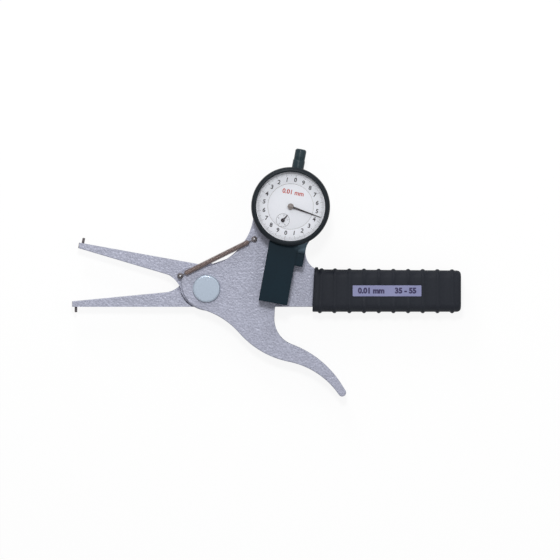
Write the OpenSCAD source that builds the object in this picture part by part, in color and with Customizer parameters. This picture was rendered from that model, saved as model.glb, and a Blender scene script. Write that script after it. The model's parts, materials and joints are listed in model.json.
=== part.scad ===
// Inside dial caliper: two long arms with outward contact pins, a finger lever that
// closes them, and a dial gauge that reads the lever. It lies on its back, dial up.
// Origin: the pivot axis on the resting plane. +X runs to the grip, +Z to the dial's face.

/* [Measuring arms] */
// Distance from the pivot to the end of the fixed arm
fixed_reach = 101.1; // [90:0.1:115]
// Distance from the pivot to the end of the moving arm
moving_reach = 100.4; // [90:0.1:115]
// Thickness of the arm blades
arm_t = 6; // [5:0.5:8]
// Width of each arm at its tip
arm_tip_w = 4.2; // [3.4:0.1:6]
// Width of the fixed arm where its taper ends
fixed_root_w = 11; // [9:0.1:12]
// Width of the moving arm where its taper ends
moving_root_w = 12; // [10:0.1:13]
// Distance from the pivot to where the tapers end
arm_root_x = 30; // [28:0.5:36]
// Distance of the fixed arm's straight outer edge from the pivot
fixed_edge = 13.75; // [13:0.05:15]
// Distance of the moving arm's straight outer edge from the pivot
moving_edge = 17; // [16:0.1:18]
// Angle between the two outer edges with the jaws open
arm_spread = 10.2; // [9:0.1:13]
// Radius of the round roots that lap at the pivot
root_r = 19.3; // [18.5:0.1:20]
// Diameter of the contact pins
contact_d = 2; // [1.5:0.1:3]
// Distance that the contact pins stand out of the arms
contact_out = 4.1; // [3:0.1:6]
// Distance of the contact pins from the arm ends
contact_inset = 2.8; // [2:0.1:5]

/* [Lever and frame] */
// Angle through which the finger lever closes the jaws
jaw_travel = 12; // [8:0.5:12.5]
// Thickness of the frame and lever castings
casting_t = 12; // [11:0.5:14]
// Gap between the faces of the frame and the lever
lap_gap = 0.4; // [0.2:0.05:0.6]
// Radius of the lever plate's round edge beside the frame's ear
lever_r = 46.5; // [44:0.1:48]
// Gap between the lever plate's round edge and the frame
ear_gap = 0.3; // [0.3:0.05:1.2]
// Angle of the frame's ear corner above the X axis
ear_angle = 51.6; // [49:0.1:54]
// Radius of the lever's rounded end
lever_end_r = 21; // [20:0.1:21.5]
// Length of the lever's curved finger rest
finger_len = 46; // [34:0.5:52]
// Radius of the finger rest's tip
finger_tip_r = 3; // [2.4:0.1:3.6]
// Radius of the pivot pin
pivot_r = 5; // [4:0.1:6]
// Radius of the round cap over the pivot
pivot_cap_r = 10.3; // [8.5:0.1:12]
// Thickness of the round cap over the pivot
pivot_cap_t = 2.7; // [2:0.1:4]

/* [Grip] */
// Length of the grip
grip_len = 110.6; // [90:0.2:130]
// Width of the grip between its ribs
grip_w = 31.5; // [26:0.5:34]
// Thickness of the grip over its ribs
grip_d = 20; // [19:0.5:24]
// Distance from the pivot to the grip's near end
grip_x = 80.3; // [79:0.1:86]
// Lean of the grip's near end across its width
grip_slant = 1.7; // [0:0.1:3]
// Radius of the grip's long edges
grip_edge_r = 6; // [4:0.5:8]
// Height of the grip's ribs
rib_h = 1.1; // [0.6:0.1:1.5]
// Width of one rib
rib_w = 3; // [2:0.2:4]
// Distance from one rib to the next
rib_pitch = 11.02; // [8:0.02:16]
// Length of the plate on the grip
plate_len = 51.5; // [40:0.5:60]
// Width of the plate on the grip
plate_w = 8.2; // [6:0.2:12]
// Thickness of the plate on the grip
plate_t = 0.6; // [0.4:0.1:1]

/* [Dial gauge] */
// Distance from the pivot to the spindle's axis
spindle_arm = 50.8; // [50:0.1:52]
// Distance along the spindle from its nearest point to the pivot up to the dial's centre
dial_up = 71.6; // [69:0.1:75]
// Lean of the spindle from upright
axis_lean = 10.5; // [8:0.1:12]
// Outer radius of the bezel
bezel_r = 29.4; // [27:0.1:33]
// Width of the bezel's rim around the dial
bezel_rim = 3.7; // [3.4:0.1:4.4]
// Distance that the bezel stands out beyond the gauge's case
bezel_out = 2.4; // [1.9:0.1:2.7]
// Wall of the gauge's case
case_wall = 2.2; // [1.6:0.1:3]
// Depth of the gauge's case
case_depth = 14; // [13.5:0.1:16]
// Height of the bezel's front above the case
bezel_rise = 6; // [5:0.1:8]
// Radius of the line between the turning scale and the fixed inner dial
scale_split_r = 17; // [16:0.1:18.5]
// Radius of the gauge's spindle
spindle_r = 2.25; // [2:0.05:2.5]
// Outer radius of the stems that guide the spindle
stem_r = 4.5; // [3.8:0.05:4.8]
// Outer radius of the cap over the spindle's top
cap_r = 4.15; // [3.5:0.05:4.6]
// Sideways place of the counter dial from the dial's centre
counter_u = -3.85; // [-4.2:0.05:-3.8]
// Gap between the counter's wheel and the wall of the case
wheel_clear = 2.37; // [1:0.01:4]
// Direction of the main pointer, clockwise from the dial's upright
pointer_angle = 99.5; // [0:0.5:360]
// Direction of the counter pointer, clockwise from the dial's upright
counter_angle = 31.5; // [0:0.5:360]

/* [Spindle guard] */
// Half width of the guard
guard_half_w = 10.8; // [9.6:0.1:12]
// Distance of the guard's lower end from the dial's centre
guard_end = 73; // [72:0.1:76]
// Distance of the guard's shoulder from the dial's centre
guard_step = 42.6; // [40:0.1:45]
// Reach of the guard's shoulder to the right
guard_shoulder = 16.8; // [15:0.1:18]
// Wall of the guard
guard_wall = 1.5; // [1:0.1:2.2]
// Height of the guard over the castings
guard_h = 13.6; // [13:0.1:16]

/* [Return spring] */
// Place along the grip's axis of the spring's post on the moving arm
arm_post_x = -19.7; // [-22:0.1:-19.5]
// Place across the grip's axis of the spring's post on the moving arm
arm_post_y = 9.45; // [9:0.05:11]
// Distance of the spring's post on the frame's ear from the ear's round edge
ear_post_inset = 4.8; // [4:0.1:6]
// Angle of the spring's post on the frame's ear above the X axis
ear_post_angle = 46; // [44:0.1:48]
// Diameter of the spring's wire
wire_d = 0.5; // [0.4:0.05:0.52]
// Mean diameter of the coil
coil_d = 3.3; // [2.8:0.1:3.8]
// Distance from one curl to the next
coil_pitch = 0.95; // [0.95:0.01:1.2]
// Number of curls
curls = 57; // [20:1:57]

/* [Hidden] */
$fn = 96;

// Clearances
run = 0.04;
fit = 0.02;
slip = 0.3;
over = 1;

// Levels
mid_z = grip_d / 2;
rear_z = mid_z - casting_t / 2;
front_z = mid_z + casting_t / 2;
lap_rear = mid_z - lap_gap / 2;
lap_front = mid_z + lap_gap / 2;
arm_rear = mid_z - arm_t / 2;
arm_front = mid_z + arm_t / 2;

// Points along arcs
function polar(c, r, a) = c + r * [cos(a), sin(a)];
function arc(c, r, a0, a1, n = 24) = [for (k = [0:n]) polar(c, r, a0 + (a1 - a0) * k / n)];
function turned(p, a) = [p.x * cos(a) - p.y * sin(a), p.x * sin(a) + p.y * cos(a)];
function bow(p, q, s, n = 14) =
    let (d = q - p, l = norm(d), side = [-d.y, d.x] / l, r = (l * l / 4 + s * s) / (2 * s))
    let (c = (p + q) / 2 + side * (s - r))
    [for (k = [0:n]) c + turned(p - c, -4 * atan(2 * s / l) * k / n)];
function leg(p, h, l, turn, t) =
    p + l * 180 / (PI * turn) * [sin(h + turn * t) - sin(h), cos(h) - cos(h + turn * t)];
function trace(p, h, legs, i = 0) = i == len(legs) ? [] : let (l = legs[i][0], turn = legs[i][1])
    concat([for (k = [1:12]) leg(p, h, l, turn, k / 12)],
        trace(leg(p, h, l, turn, 1), h + turn, legs, i + 1));
function reversed(list) = [for (k = [len(list) - 1:-1:0]) list[k]];
function last(list) = list[len(list) - 1];

// Lever outline
lever_end_x = 2;
lever_end_y = 4.5;
lever_end_c = [lever_end_x, lever_end_y];
lever_start_a = 254.5;
lever_hollow = 3.4;
heel_back = 1;
belly_len = 33.7;
bend_len = 43.9;
throat_len = 25.7;
throat_x = 50.9;
throat_y = 21.9;
rest_extra = 5.6;
finger_out_h = lever_start_a - 270;
finger_out_legs = [[belly_len, -33.4], [bend_len, 37.75], [finger_len, -44.6]];
finger_in_start = [throat_x, -throat_y];
finger_in_h = -92.5;
finger_in_legs = [[throat_len, 72.3], [finger_len + rest_extra, -39.6]];
finger_out = trace(polar(lever_end_c, lever_end_r, lever_start_a), finger_out_h, finger_out_legs);
finger_in = trace(finger_in_start, finger_in_h, finger_in_legs);
finger_end_h = finger_out_h + finger_out_legs[0][1] + finger_out_legs[1][1] + finger_out_legs[2][1];
finger_tip_c = last(finger_out) + finger_tip_r * [-sin(finger_end_h), cos(finger_end_h)];

// Anvil under the spindle, and the lever's lobe that carries it
axis_dir = [sin(axis_lean), cos(axis_lean)];
axis_side = [cos(axis_lean), -sin(axis_lean)];
dial_c = spindle_arm * axis_side + dial_up * axis_dir;
anvil_r = 2.2;
anvil_foot = 1.5;
anvil_v = anvil_r + guard_wall + slip - guard_end;
anvil_c = dial_c + anvil_v * axis_dir;
anvil_a = atan2(anvil_c.y, anvil_c.x);
lobe_r = norm(anvil_c) + anvil_r + slip;
lobe_a = anvil_a + 4.6;
lobe_low_a = -16;
tip_gap = 0.15;

// Frame outline
ear_r = lever_r + ear_gap;
stop_a = lobe_a + jaw_travel + 1.5;
throat_step = throat_len / 12;
reach_r = [for (p = finger_in) if (turned(p, jaw_travel).y > -fixed_edge - throat_step) norm(p)];
notch_r = max(concat([lobe_r, norm(finger_in_start)], reach_r)) + ear_gap;
tang_h = 14;
tang_t = 10;
tang_short = 15;
tang_len = grip_len - tang_short;
tang_y = -1.75;
neck_hollow = -6.4;
ear_hollow = -1;

// Dial gauge, outwards and upwards
dial_r = bezel_r - bezel_rim;
case_r = bezel_r - bezel_out;
case_in_r = case_r - case_wall;
boss_inset = 7;
boss_r = case_r - boss_inset;
crystal_lip = 0.7;
bezel_seat_r = dial_r + crystal_lip;
neck_out = 1.6;
neck_top = polar(dial_c, case_r + neck_out, -53.5);
function near_end(y) = grip_x + (y - tang_y) * grip_slant / grip_w;
neck_foot_y = tang_y + grip_w / 2 + rib_h;
neck_foot = [near_end(neck_foot_y), neck_foot_y];
case_z = front_z;
case_top = case_z + case_depth;
bezel_lap = 3;
bezel_z = case_top - bezel_lap;
bezel_top = case_top + bezel_rise;
seat_gap = 0.1;
dial_lift = 0.4;
dial_z = case_top + dial_lift;
dial_t = 0.6;
crystal_t = 1.1;
crystal_sink = 1.2;
crystal_z = bezel_top - crystal_sink - crystal_t;
stem_play = 0.15;
spindle_z = bezel_z - stem_play - stem_r;
movement_z = spindle_z + spindle_r + slip;
plate_thick = 0.8;
wheel_lift = 0.4;
wheel_z = movement_z + plate_thick + wheel_lift;
wheel_t = 0.6;
upper_z = wheel_z + wheel_t + 2 * wheel_lift;
pointer_lift = 1.2;
pointer_z = dial_z + dial_t + pointer_lift;
counter_z = dial_z + dial_t + wheel_lift;

// Gear train: ten turns of the main pointer to one of the counter
tooth = 0.3;
train = 10;
centre_dist = (case_in_r - wheel_clear) * (train + 1) / (2 * train + 1);
counter_v = -sqrt(centre_dist * centre_dist - counter_u * counter_u);
pinion_r = centre_dist / (train + 1) - run;
wheel_r = centre_dist * train / (train + 1) - run;
rack_pinion_r = abs(counter_u) - spindle_r - run;
rack_pinion_teeth = 16;
arbor_r = 0.55;
arbor_end = 0.3;

// Spindle and stems along the gauge's axis
spindle_low = anvil_v + anvil_r + tip_gap;
tip_len = 5;
stem_out = 8.6;
stem_top = case_r + stem_out;
cap_len = 8.2;
cap_top = stem_top + cap_len;
cap_end_t = 1.2;
cap_play = 0.5;
stem_in = 3.4;
stem_low = -guard_step - stem_in;
lift = spindle_arm * jaw_travel * PI / 180;
spring_shut = 1.6;
spring_play = 0.4;
spindle_top = cap_top - cap_end_t - spring_shut - spring_play - lift;

// Return spring
arm_post = [arm_post_x, arm_post_y];
ear_post = polar([0, 0], ear_r + ear_post_inset, ear_post_angle);
coil_lift = 0.5;
wire_z = front_z + coil_lift + (coil_d + wire_d) / 2;
post_r = 1;
post_deep = 4;
post_head_r = 1.3;
post_collar_r = 2;
post_head_t = 0.8;
loop_play = 0.12;
loop_r = post_r + wire_d / 2 + loop_play;
hook_len = 2.2;
hook_bend = 1;
spring_axis = arm_post - ear_post;
spring_len = norm(spring_axis);
spring_a = atan2(spring_axis.y, spring_axis.x);
coil_end = spring_len - loop_r - hook_len;
coil_start = coil_end - curls * coil_pitch;
per_curl = 8;
tube_sides = 6;

silver = [0.65, 0.66, 0.70];
black = [0.14, 0.16, 0.19];
steel = [0.62, 0.64, 0.68];
brass = [0.72, 0.60, 0.34];
white = [0.90, 0.90, 0.93];

module slab(z0, z1) {
    translate([0, 0, z0]) linear_extrude(z1 - z0) children();
}

module rod(r, z0, z1) {
    translate([0, 0, z0]) cylinder(r = r, h = z1 - z0);
}

module at_dial() {
    translate([dial_c.x, dial_c.y, 0]) rotate(-axis_lean) children();
}

// A rod along the gauge's axis, from v0 to v1
module axial(r, v0, v1) {
    translate([0, v0, spindle_z]) rotate([-90, 0, 0]) cylinder(r = r, h = v1 - v0);
}

module rounded_rect(w, h, r) {
    square([w - 2 * r, h], center = true);
    square([w, h - 2 * r], center = true);
    for (x = [-1, 1], y = [-1, 1]) {
        translate([x * (w / 2 - r), y * (h / 2 - r)]) circle(r);
    }
}

// Flat outline of an arm along -X, straight edge below
crotch_hollow = -1.3;
module arm_outline(reach, edge, root_w) {
    crotch = polar([0, 0], root_r, 168);
    blade = [[0, -edge], [-reach, -edge], [-reach, arm_tip_w - edge]];
    polygon(concat(blade, bow([-arm_root_x, root_w - edge], crotch, crotch_hollow), [[0, crotch.y]]));
}

module fixed_arm_outline() {
    arm_outline(fixed_reach, fixed_edge, fixed_root_w);
}

// Round root of the fixed arm, level with its straight edge below
module fixed_root_outline(gap = 0) {
    intersection() {
        circle(root_r + gap);
        translate([-2 * root_r, -fixed_edge]) square(4 * root_r);
    }
}

module moving_arm_outline() {
    rotate(-arm_spread) mirror([0, 1]) arm_outline(moving_reach, moving_edge, moving_root_w);
}

// Round root of the moving arm, flattened on its lower side
root_flat_x = 2;
root_flat_y = 6;
root_flat_r = root_r + 3.5;
module moving_root_outline(gap = 0) {
    intersection() {
        circle(root_r + gap);
        translate([root_flat_x, root_flat_y]) circle(root_flat_r + gap);
    }
}

module screw_ring(r, count, start) {
    for (k = [0:count - 1]) {
        rotate(start + k * 360 / count) translate([r, 0]) children();
    }
}

jaw_screw_pcd = (pivot_r + root_r) / 2 + 1;
jaw_screw_r = 1.5;
screw_head_r = 2.7;
screw_head_t = 1.3;
screw_slot_w = 0.6;
fixed_screw_a = 80;
screw_slot_deep = 0.5;

// A cheese-head screw along +Z with a slot across its head
module screw(z_head, z_end) {
    difference() {
        union() {
            rod(screw_head_r - fit, z_head, z_head + screw_head_t);
            rod(jaw_screw_r - fit, z_head, z_end);
        }
        translate([0, 0, z_head]) cube([2 * screw_head_r, screw_slot_w, 2 * screw_slot_deep], center = true);
    }
}

module screw_hole(z_head, z_end) {
    rod(screw_head_r, z_head - over, z_head + screw_head_t);
    rod(jaw_screw_r, z_head, z_end);
}

module lever_outline() {
    corner = polar([0, 0], lever_r, ear_angle);
    heel = turned([-heel_back, moving_edge], -arm_spread);
    end_drop = moving_edge - turned(lever_end_c, arm_spread).y;
    left_a = 180 - asin(end_drop / lever_end_r) - arm_spread;
    polygon(concat(
        finger_out,
        arc(finger_tip_c, finger_tip_r, finger_end_h - 90, finger_end_h + 87, 12),
        reversed(finger_in),
        [finger_in_start],
        arc([0, 0], lobe_r, lobe_low_a, lobe_a, 8),
        arc([0, 0], lever_r, lobe_a, ear_angle),
        bow(corner, heel, lever_hollow),
        arc(lever_end_c, lever_end_r, left_a, lever_start_a)
    ));
}

// Half of the finger rest that lies in the frame's layer, clear of it when squeezed
module finger_rear_outline() {
    span = fixed_reach + grip_len;
    intersection() {
        lever_outline();
        rotate(-jaw_travel) translate([fixed_edge, -span - fixed_edge - over]) square(span);
    }
}

module frame_front_outline() {
    ear_top = polar(dial_c, bezel_r, 197);
    low_a = -asin(fixed_edge / notch_r);
    polygon(concat(
        arc([0, 0], notch_r, low_a, stop_a, 10),
        arc([0, 0], ear_r, stop_a, ear_angle),
        bow(polar([0, 0], ear_r, ear_angle), ear_top, ear_hollow),
        arc(dial_c, boss_r, 190, -20),
        bow(neck_top, neck_foot, neck_hollow),
        [[near_end(-fixed_edge), -fixed_edge]]
    ));
}

// Web behind the lever that joins the frame's neck to the pivot
web_lap = 6;
web_wall = 1.2;
web_r = jaw_screw_pcd + screw_head_r + web_wall;
module frame_web_outline() {
    polygon(concat(
        arc([0, 0], web_r, 200, 90),
        [polar([0, 0], lever_r - web_lap, ear_angle - 9)],
        [polar([0, 0], lever_r - web_lap / 2, ear_angle - 2)],
        [polar([0, 0], ear_r + web_lap, ear_angle - 1), polar([0, 0], ear_r + 2 * web_lap, 0)],
        [[notch_r + web_lap, -fixed_edge], [-fixed_edge, -fixed_edge]]
    ));
}

module frame_casting() color(silver) difference() {
    union() {
        slab(rear_z, front_z) frame_front_outline();
        slab(rear_z, lap_rear) frame_web_outline();
        translate([grip_x - grip_slant, tang_y - tang_h / 2, mid_z - tang_t / 2])
            cube([tang_len + grip_slant, tang_h, tang_t]);
    }
    slab(arm_rear, mid_z) {
        fixed_root_outline(slip);
        fixed_arm_outline();
    }
    rod(pivot_r + fit, rear_z - over, mid_z);
    screw_ring(jaw_screw_pcd, 3, fixed_screw_a) screw_hole(rear_z, mid_z);
    at_dial() {
        screw_ring(cover_screw_pcd, 3, 90) rod(jaw_screw_r, rear_z - over, rear_z + cover_screw_deep + over);
        for (p = guard_screw_at) translate(p) screw_hole(rear_z, front_z + over);
    }
    translate(ear_post) rod(post_r, front_z - post_deep, front_z + over);
}

root_step = 2.5;
module fixed_jaw() color(silver) difference() {
    union() {
        slab(arm_rear, lap_rear) {
            fixed_root_outline();
            fixed_arm_outline();
        }
        slab(arm_rear, arm_front) difference() {
            fixed_arm_outline();
            for (a = [0:jaw_travel / 4:jaw_travel]) rotate(a) {
                moving_root_outline(slip);
                moving_arm_outline();
            }
            circle(root_r - root_step);
        }
    }
    rod(pivot_r + fit, arm_rear - over, arm_front);
    screw_ring(jaw_screw_pcd, 3, fixed_screw_a) rod(jaw_screw_r, arm_rear - over, mid_z);
    contact_hole(fixed_reach, fixed_edge);
}

// Contact pin across an arm along -X, standing out of its straight edge
contact_wall = 1;
contact_deep = arm_tip_w - contact_wall;
module contact_hole(reach, edge) {
    translate([contact_inset - reach, contact_deep - edge, mid_z]) rotate([90, 0, 0])
        cylinder(d = contact_d, h = contact_deep + over);
}

module contact_pin(reach, edge) {
    nose = contact_d / 4;
    translate([contact_inset - reach, contact_deep - edge, mid_z]) rotate([90, 0, 0])
        rotate_extrude($fn = 48) union() {
            square([contact_d / 2, contact_deep + contact_out - nose]);
            square([contact_d / 2 - nose, contact_deep + contact_out]);
            translate([contact_d / 2 - nose, contact_deep + contact_out - nose]) intersection() {
                circle(nose);
                square(nose);
            }
        }
}

module fixed_contact() color(steel) contact_pin(fixed_reach, fixed_edge);

module fixed_jaw_screws() color(steel) screw_ring(jaw_screw_pcd, 3, fixed_screw_a) screw(rear_z, lap_rear);

cover_inset = 1;
cover_r = boss_r - cover_inset;
cover_screw_inset = 4.5;
cover_screw_pcd = cover_r - cover_screw_inset;
cover_screw_deep = 5;
chamfer = 1;
module rear_cover() color(silver) at_dial() difference() {
    rotate_extrude()
        polygon([[0, 0], [cover_r - chamfer, 0], [cover_r, chamfer], [cover_r, rear_z], [0, rear_z]]);
    screw_ring(cover_screw_pcd, 3, 90) screw_hole(slip, rear_z + over);
}

module rear_cover_screws() color(steel) at_dial() {
    screw_ring(cover_screw_pcd, 3, 90) screw(slip, rear_z + cover_screw_deep);
}

rib_first = 4.9;
grip_end = 1;
rib_count = floor((grip_len - rib_first - rib_w) / rib_pitch) + 1;
grip_core_d = grip_d - 2 * rib_h;
module grip_section(grow) {
    rounded_rect(grip_core_d + 2 * grow, grip_w + 2 * grow, grip_edge_r + grow);
}

// Places the grip's cross-section at a distance along the grip
module along_grip(x, l) {
    translate([grip_x + x, tang_y, mid_z]) rotate([0, 90, 0]) linear_extrude(l) children();
}

// Raised lip over the frame's neck at the near end
lip_h = 1.7;
module grip_lip() {
    intersection() {
        rounded_rect(grip_d, grip_w + 2 * lip_h, grip_edge_r + rib_h);
        translate([-grip_d, 0]) square([2 * grip_d, grip_w]);
    }
}

// What the leaning near end cuts away
module grip_near_cut() {
    far_x = grip_x - grip_slant - over;
    near_edge = [for (y = [-grip_w, grip_w]) [near_end(y), y]];
    slab(-over, grip_d + over) polygon(concat(near_edge, [[far_x, grip_w], [far_x, -grip_w]]));
}

module grip() color(black) difference() {
    union() {
        along_grip(-grip_slant, grip_len + grip_slant - grip_end) grip_section(0);
        along_grip(grip_len - grip_end, grip_end) grip_section(-grip_end);
        along_grip(-grip_slant, rib_w + grip_slant) grip_lip();
        for (k = [0:rib_count - 1]) {
            along_grip(rib_first + k * rib_pitch - rib_w / 2, rib_w) grip_section(rib_h / 2);
            along_grip(rib_first + k * rib_pitch - rib_w / 4, rib_w / 2) grip_section(rib_h);
        }
    }
    grip_near_cut();
    translate([grip_x - grip_slant, tang_y - tang_h / 2 - fit, mid_z - tang_t / 2 - fit])
        cube([tang_len + grip_slant + slip, tang_h + 2 * fit, tang_t + 2 * fit]);
    translate([plate_x - slip / 2, plate_y - slip / 2, plate_z])
        cube([plate_len + slip, plate_w + slip, 2 * rib_h]);
}

plate_x = grip_x + (grip_len - plate_len) / 2 - slip;
plate_y = tang_y - plate_w / 2;
plate_z = grip_d - rib_h;
module name_plate() color([0.70, 0.69, 0.84]) {
    translate([plate_x, plate_y, plate_z]) cube([plate_len, plate_w, plate_t]);
}

pivot_washer_t = 0.4;
washer_w = 3;
pivot_head_w = 4;
cap_z = front_z + pivot_washer_t;
module pivot_pin() color(steel) {
    head_r = pivot_r + pivot_head_w;
    rotate_extrude()
        polygon([[0, 0], [head_r - chamfer, 0], [head_r, chamfer], [head_r, rear_z], [0, rear_z]]);
    rod(pivot_r, rear_z, cap_z + pivot_cap_t / 2);
}

module pivot_washer() color(steel) difference() {
    rod(pivot_r + washer_w, front_z + lap_gap / 4, cap_z);
    rod(pivot_r + run, front_z, cap_z + over);
}

cap_chamfer = 0.7;
module pivot_cap() color([0.72, 0.75, 0.80]) difference() {
    translate([0, 0, cap_z]) rotate_extrude() polygon([
        [0, 0], [pivot_cap_r, 0], [pivot_cap_r, pivot_cap_t - cap_chamfer],
        [pivot_cap_r - cap_chamfer, pivot_cap_t], [0, pivot_cap_t]
    ]);
    rod(pivot_r, cap_z - over, cap_z + pivot_cap_t / 2);
}

// Post for a loop of the spring: a pin with a collar below the loop and a head above it
module spring_post(z_foot, z_collar) {
    groove = wire_d;
    rod(post_r, z_foot, wire_z + groove);
    rod(post_head_r, wire_z + groove, wire_z + groove + post_head_t);
    rod(post_collar_r, z_collar, wire_z - groove);
}

module frame_spring_post() color(steel) translate(ear_post) spring_post(front_z - post_deep, front_z + fit);

module jaw_spring_post() color(steel) translate(arm_post) spring_post(arm_rear, front_z + lap_gap);

module dial_case() color(black) at_dial() difference() {
    rod(case_r, case_z, case_top);
    rod(case_in_r, case_z + case_wall, case_top + over);
    axial(stem_r, -case_r - over, case_r + over);
    translate([counter_u, counter_v]) rod(arbor_r + run, case_z + case_wall / 2, case_top);
}

module upper_stem() color(black) at_dial() difference() {
    axial(stem_r, case_in_r, stem_top);
    axial(spindle_r + run, 0, stem_top + over);
}

module spindle_cap() color(black) at_dial() difference() {
    translate([0, stem_top, spindle_z]) rotate([-90, 0, 0]) rotate_extrude()
        polygon([[0, 0], [cap_r, 0], [cap_r, cap_len - chamfer], [cap_r - chamfer, cap_len], [0, cap_len]]);
    axial(spindle_r + cap_play, 0, cap_top - cap_end_t);
}

module lower_stem() color(black) at_dial() difference() {
    axial(stem_r, stem_low, -case_in_r);
    axial(spindle_r + run, stem_low - over, 0);
}

// Guard over the spindle's lower end, in the gauge's own axes
guard_screw_inset = 3.6;
guard_screw_deep = 6;
guard_screw_v = guard_screw_inset - guard_step;
guard_screw_at = [
    [guard_shoulder - guard_screw_inset, guard_screw_v], [guard_screw_inset - guard_half_w, guard_screw_v]
];
module guard_outline() {
    neck = [for (p = bow(neck_top, neck_foot, neck_hollow)) turned(p - dial_c, axis_lean)];
    narrow = min([for (p = neck) p.x]);
    waist = [for (p = neck) if (p.x == narrow) p][0];
    polygon(concat(
        [[-guard_half_w, 0], [-guard_half_w, -guard_end], [guard_half_w, -guard_end]],
        [[guard_half_w, -guard_step], [guard_shoulder, -guard_step]],
        reversed([for (p = neck) if (p.y >= waist.y) p])
    ));
}

// The guard's outline as far as a reach to the right and a place along the gauge's axis
module guard_part(reach, top) {
    intersection() {
        guard_outline();
        translate([-2 * guard_half_w, -2 * guard_end])
            square([2 * guard_half_w + reach, 2 * guard_end + top]);
    }
}

shoulder_top = 33;
shoulder_drop = 1.2;
fillet_drop = 5;
module spindle_guard() color(black) at_dial() difference() {
    union() {
        slab(front_z, front_z + guard_h) guard_part(guard_half_w, 0);
        slab(front_z, front_z + guard_h - shoulder_drop) guard_part(2 * guard_shoulder, -shoulder_top);
        slab(front_z, front_z + guard_h - fillet_drop) guard_outline();
    }
    slab(front_z - over, front_z + lap_gap) translate([-guard_half_w - over, -guard_end - over])
        square([2 * guard_half_w + 2 * over, guard_end + over + stem_low]);
    slab(front_z - over, front_z + guard_h - guard_wall)
        translate([guard_wall - guard_half_w, guard_wall - guard_end])
        square([2 * (guard_half_w - guard_wall), guard_end - guard_wall + stem_low]);
    rod(case_r + fit, front_z - over, bezel_z);
    rod(bezel_r + slip, bezel_z - slip, bezel_top);
    axial(stem_r, stem_low - over, 0);
    for (p = guard_screw_at) translate(p) rod(jaw_screw_r, front_z - over, front_z + guard_screw_deep + over);
}

module guard_screws() color(steel) at_dial() {
    for (p = guard_screw_at) translate(p) screw(rear_z, front_z + guard_screw_deep);
}

dial_hole_r = 1.4;
module inner_dial() color(white) at_dial() difference() {
    rod(scale_split_r - seat_gap, dial_z, dial_z + dial_t);
    rod(dial_hole_r, dial_z - over, dial_z + over);
    translate([counter_u, counter_v]) rod(arbor_r + slip, dial_z - over, dial_z + over);
}

pillar_inset = 4.5;
pillar_at = [for (a = [20, 160, 310]) polar([0, 0], case_in_r - pillar_inset, a)];
pillar_r = 1.6;
plate_inset = 2;
side_inset = 4.2;
end_inset = 6.3;
module movement_plate(z) {
    difference() {
        slab(z, z + plate_thick) intersection() {
            circle(case_in_r - plate_inset);
            square([2 * (case_in_r - side_inset), 2 * (case_in_r - end_inset)], center = true);
        }
        rod(arbor_r + run, z - over, z + plate_thick + over);
        translate([counter_u, counter_v]) rod(arbor_r + run, z - over, z + plate_thick + over);
        for (p = pillar_at) translate(p) rod(pillar_r / 2, z - over, z + plate_thick + over);
    }
}

module movement_lower_plate() color(brass) at_dial() movement_plate(movement_z);

module movement_upper_plate() color(brass) at_dial() movement_plate(upper_z);

module movement_pillars() color(brass) at_dial() for (p = pillar_at) translate(p) {
    rod(pillar_r, case_z + case_wall, movement_z);
    rod(pillar_r, movement_z + plate_thick, upper_z);
    rod(pillar_r, upper_z + plate_thick, dial_z);
    rod(pillar_r / 2, movement_z, upper_z + plate_thick);
}

// Spring above the spindle, at its closed length
module spindle_spring() color(steel) at_dial() difference() {
    axial(spindle_r + cap_play - fit, spindle_top + lift + spring_play, cap_top - cap_end_t);
    axial(spindle_r - cap_play, 0, cap_top);
}

bezel_edge = 1.6;
dial_ledge = 0.4;
module bezel() color(black) at_dial() rotate_extrude() polygon([
    [case_r + run, bezel_z], [bezel_r - bezel_edge / 2, bezel_z], [bezel_r, bezel_z + bezel_edge / 2],
    [bezel_r, bezel_top - bezel_edge], [bezel_r - bezel_edge, bezel_top], [bezel_seat_r, bezel_top],
    [dial_r, bezel_top - crystal_lip], [dial_r, crystal_z + crystal_t], [bezel_seat_r, crystal_z + crystal_t],
    [bezel_seat_r, dial_z], [dial_r - dial_ledge, dial_z], [dial_r - dial_ledge, case_top + seat_gap],
    [case_r + run, case_top + seat_gap]
]);

module scale_ring() color(white) at_dial() difference() {
    rod(bezel_seat_r - fit, dial_z, dial_z + dial_t);
    rod(scale_split_r + seat_gap, dial_z - over, dial_z + over);
}

module crystal() color([0.85, 0.92, 0.95, 0.35]) at_dial() {
    rod(bezel_seat_r - fit, crystal_z, crystal_z + crystal_t);
}

bush_w = 2;
screw_cover = 0.9;
module lever_casting() color(silver) difference() {
    union() {
        slab(lap_front, front_z) lever_outline();
        slab(rear_z, mid_z + lap_gap) finger_rear_outline();
    }
    slab(mid_z, arm_front) {
        circle(root_r + fit);
        moving_arm_outline();
    }
    rod(pivot_r + bush_w, mid_z, front_z + over);
    screw_ring(jaw_screw_pcd, 3, 90) rod(jaw_screw_r, mid_z, front_z - screw_cover + fit);
    translate(anvil_c) rod(anvil_r + fit, lap_front + anvil_foot, front_z + over);
}

module moving_jaw() color(silver) difference() {
    union() {
        slab(lap_front, arm_front) {
            moving_root_outline();
            moving_arm_outline();
        }
        slab(arm_rear, arm_front) difference() {
            moving_arm_outline();
            for (a = [0:jaw_travel / 4:jaw_travel]) rotate(-a) fixed_arm_outline();
            circle(root_r + slip);
        }
    }
    rod(pivot_r + bush_w, mid_z, arm_front + over);
    screw_ring(jaw_screw_pcd, 3, 90) screw_hole(lap_front, arm_front + over);
    rotate(-arm_spread) mirror([0, 1, 0]) contact_hole(moving_reach, moving_edge);
    translate(arm_post) rod(post_r, arm_rear - over, arm_front + over);
}

module moving_contact() color(steel) {
    rotate(-arm_spread) mirror([0, 1, 0]) contact_pin(moving_reach, moving_edge);
}

module moving_jaw_screws() color(steel) {
    screw_ring(jaw_screw_pcd, 3, 90) screw(lap_front, front_z - screw_cover);
}

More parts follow.
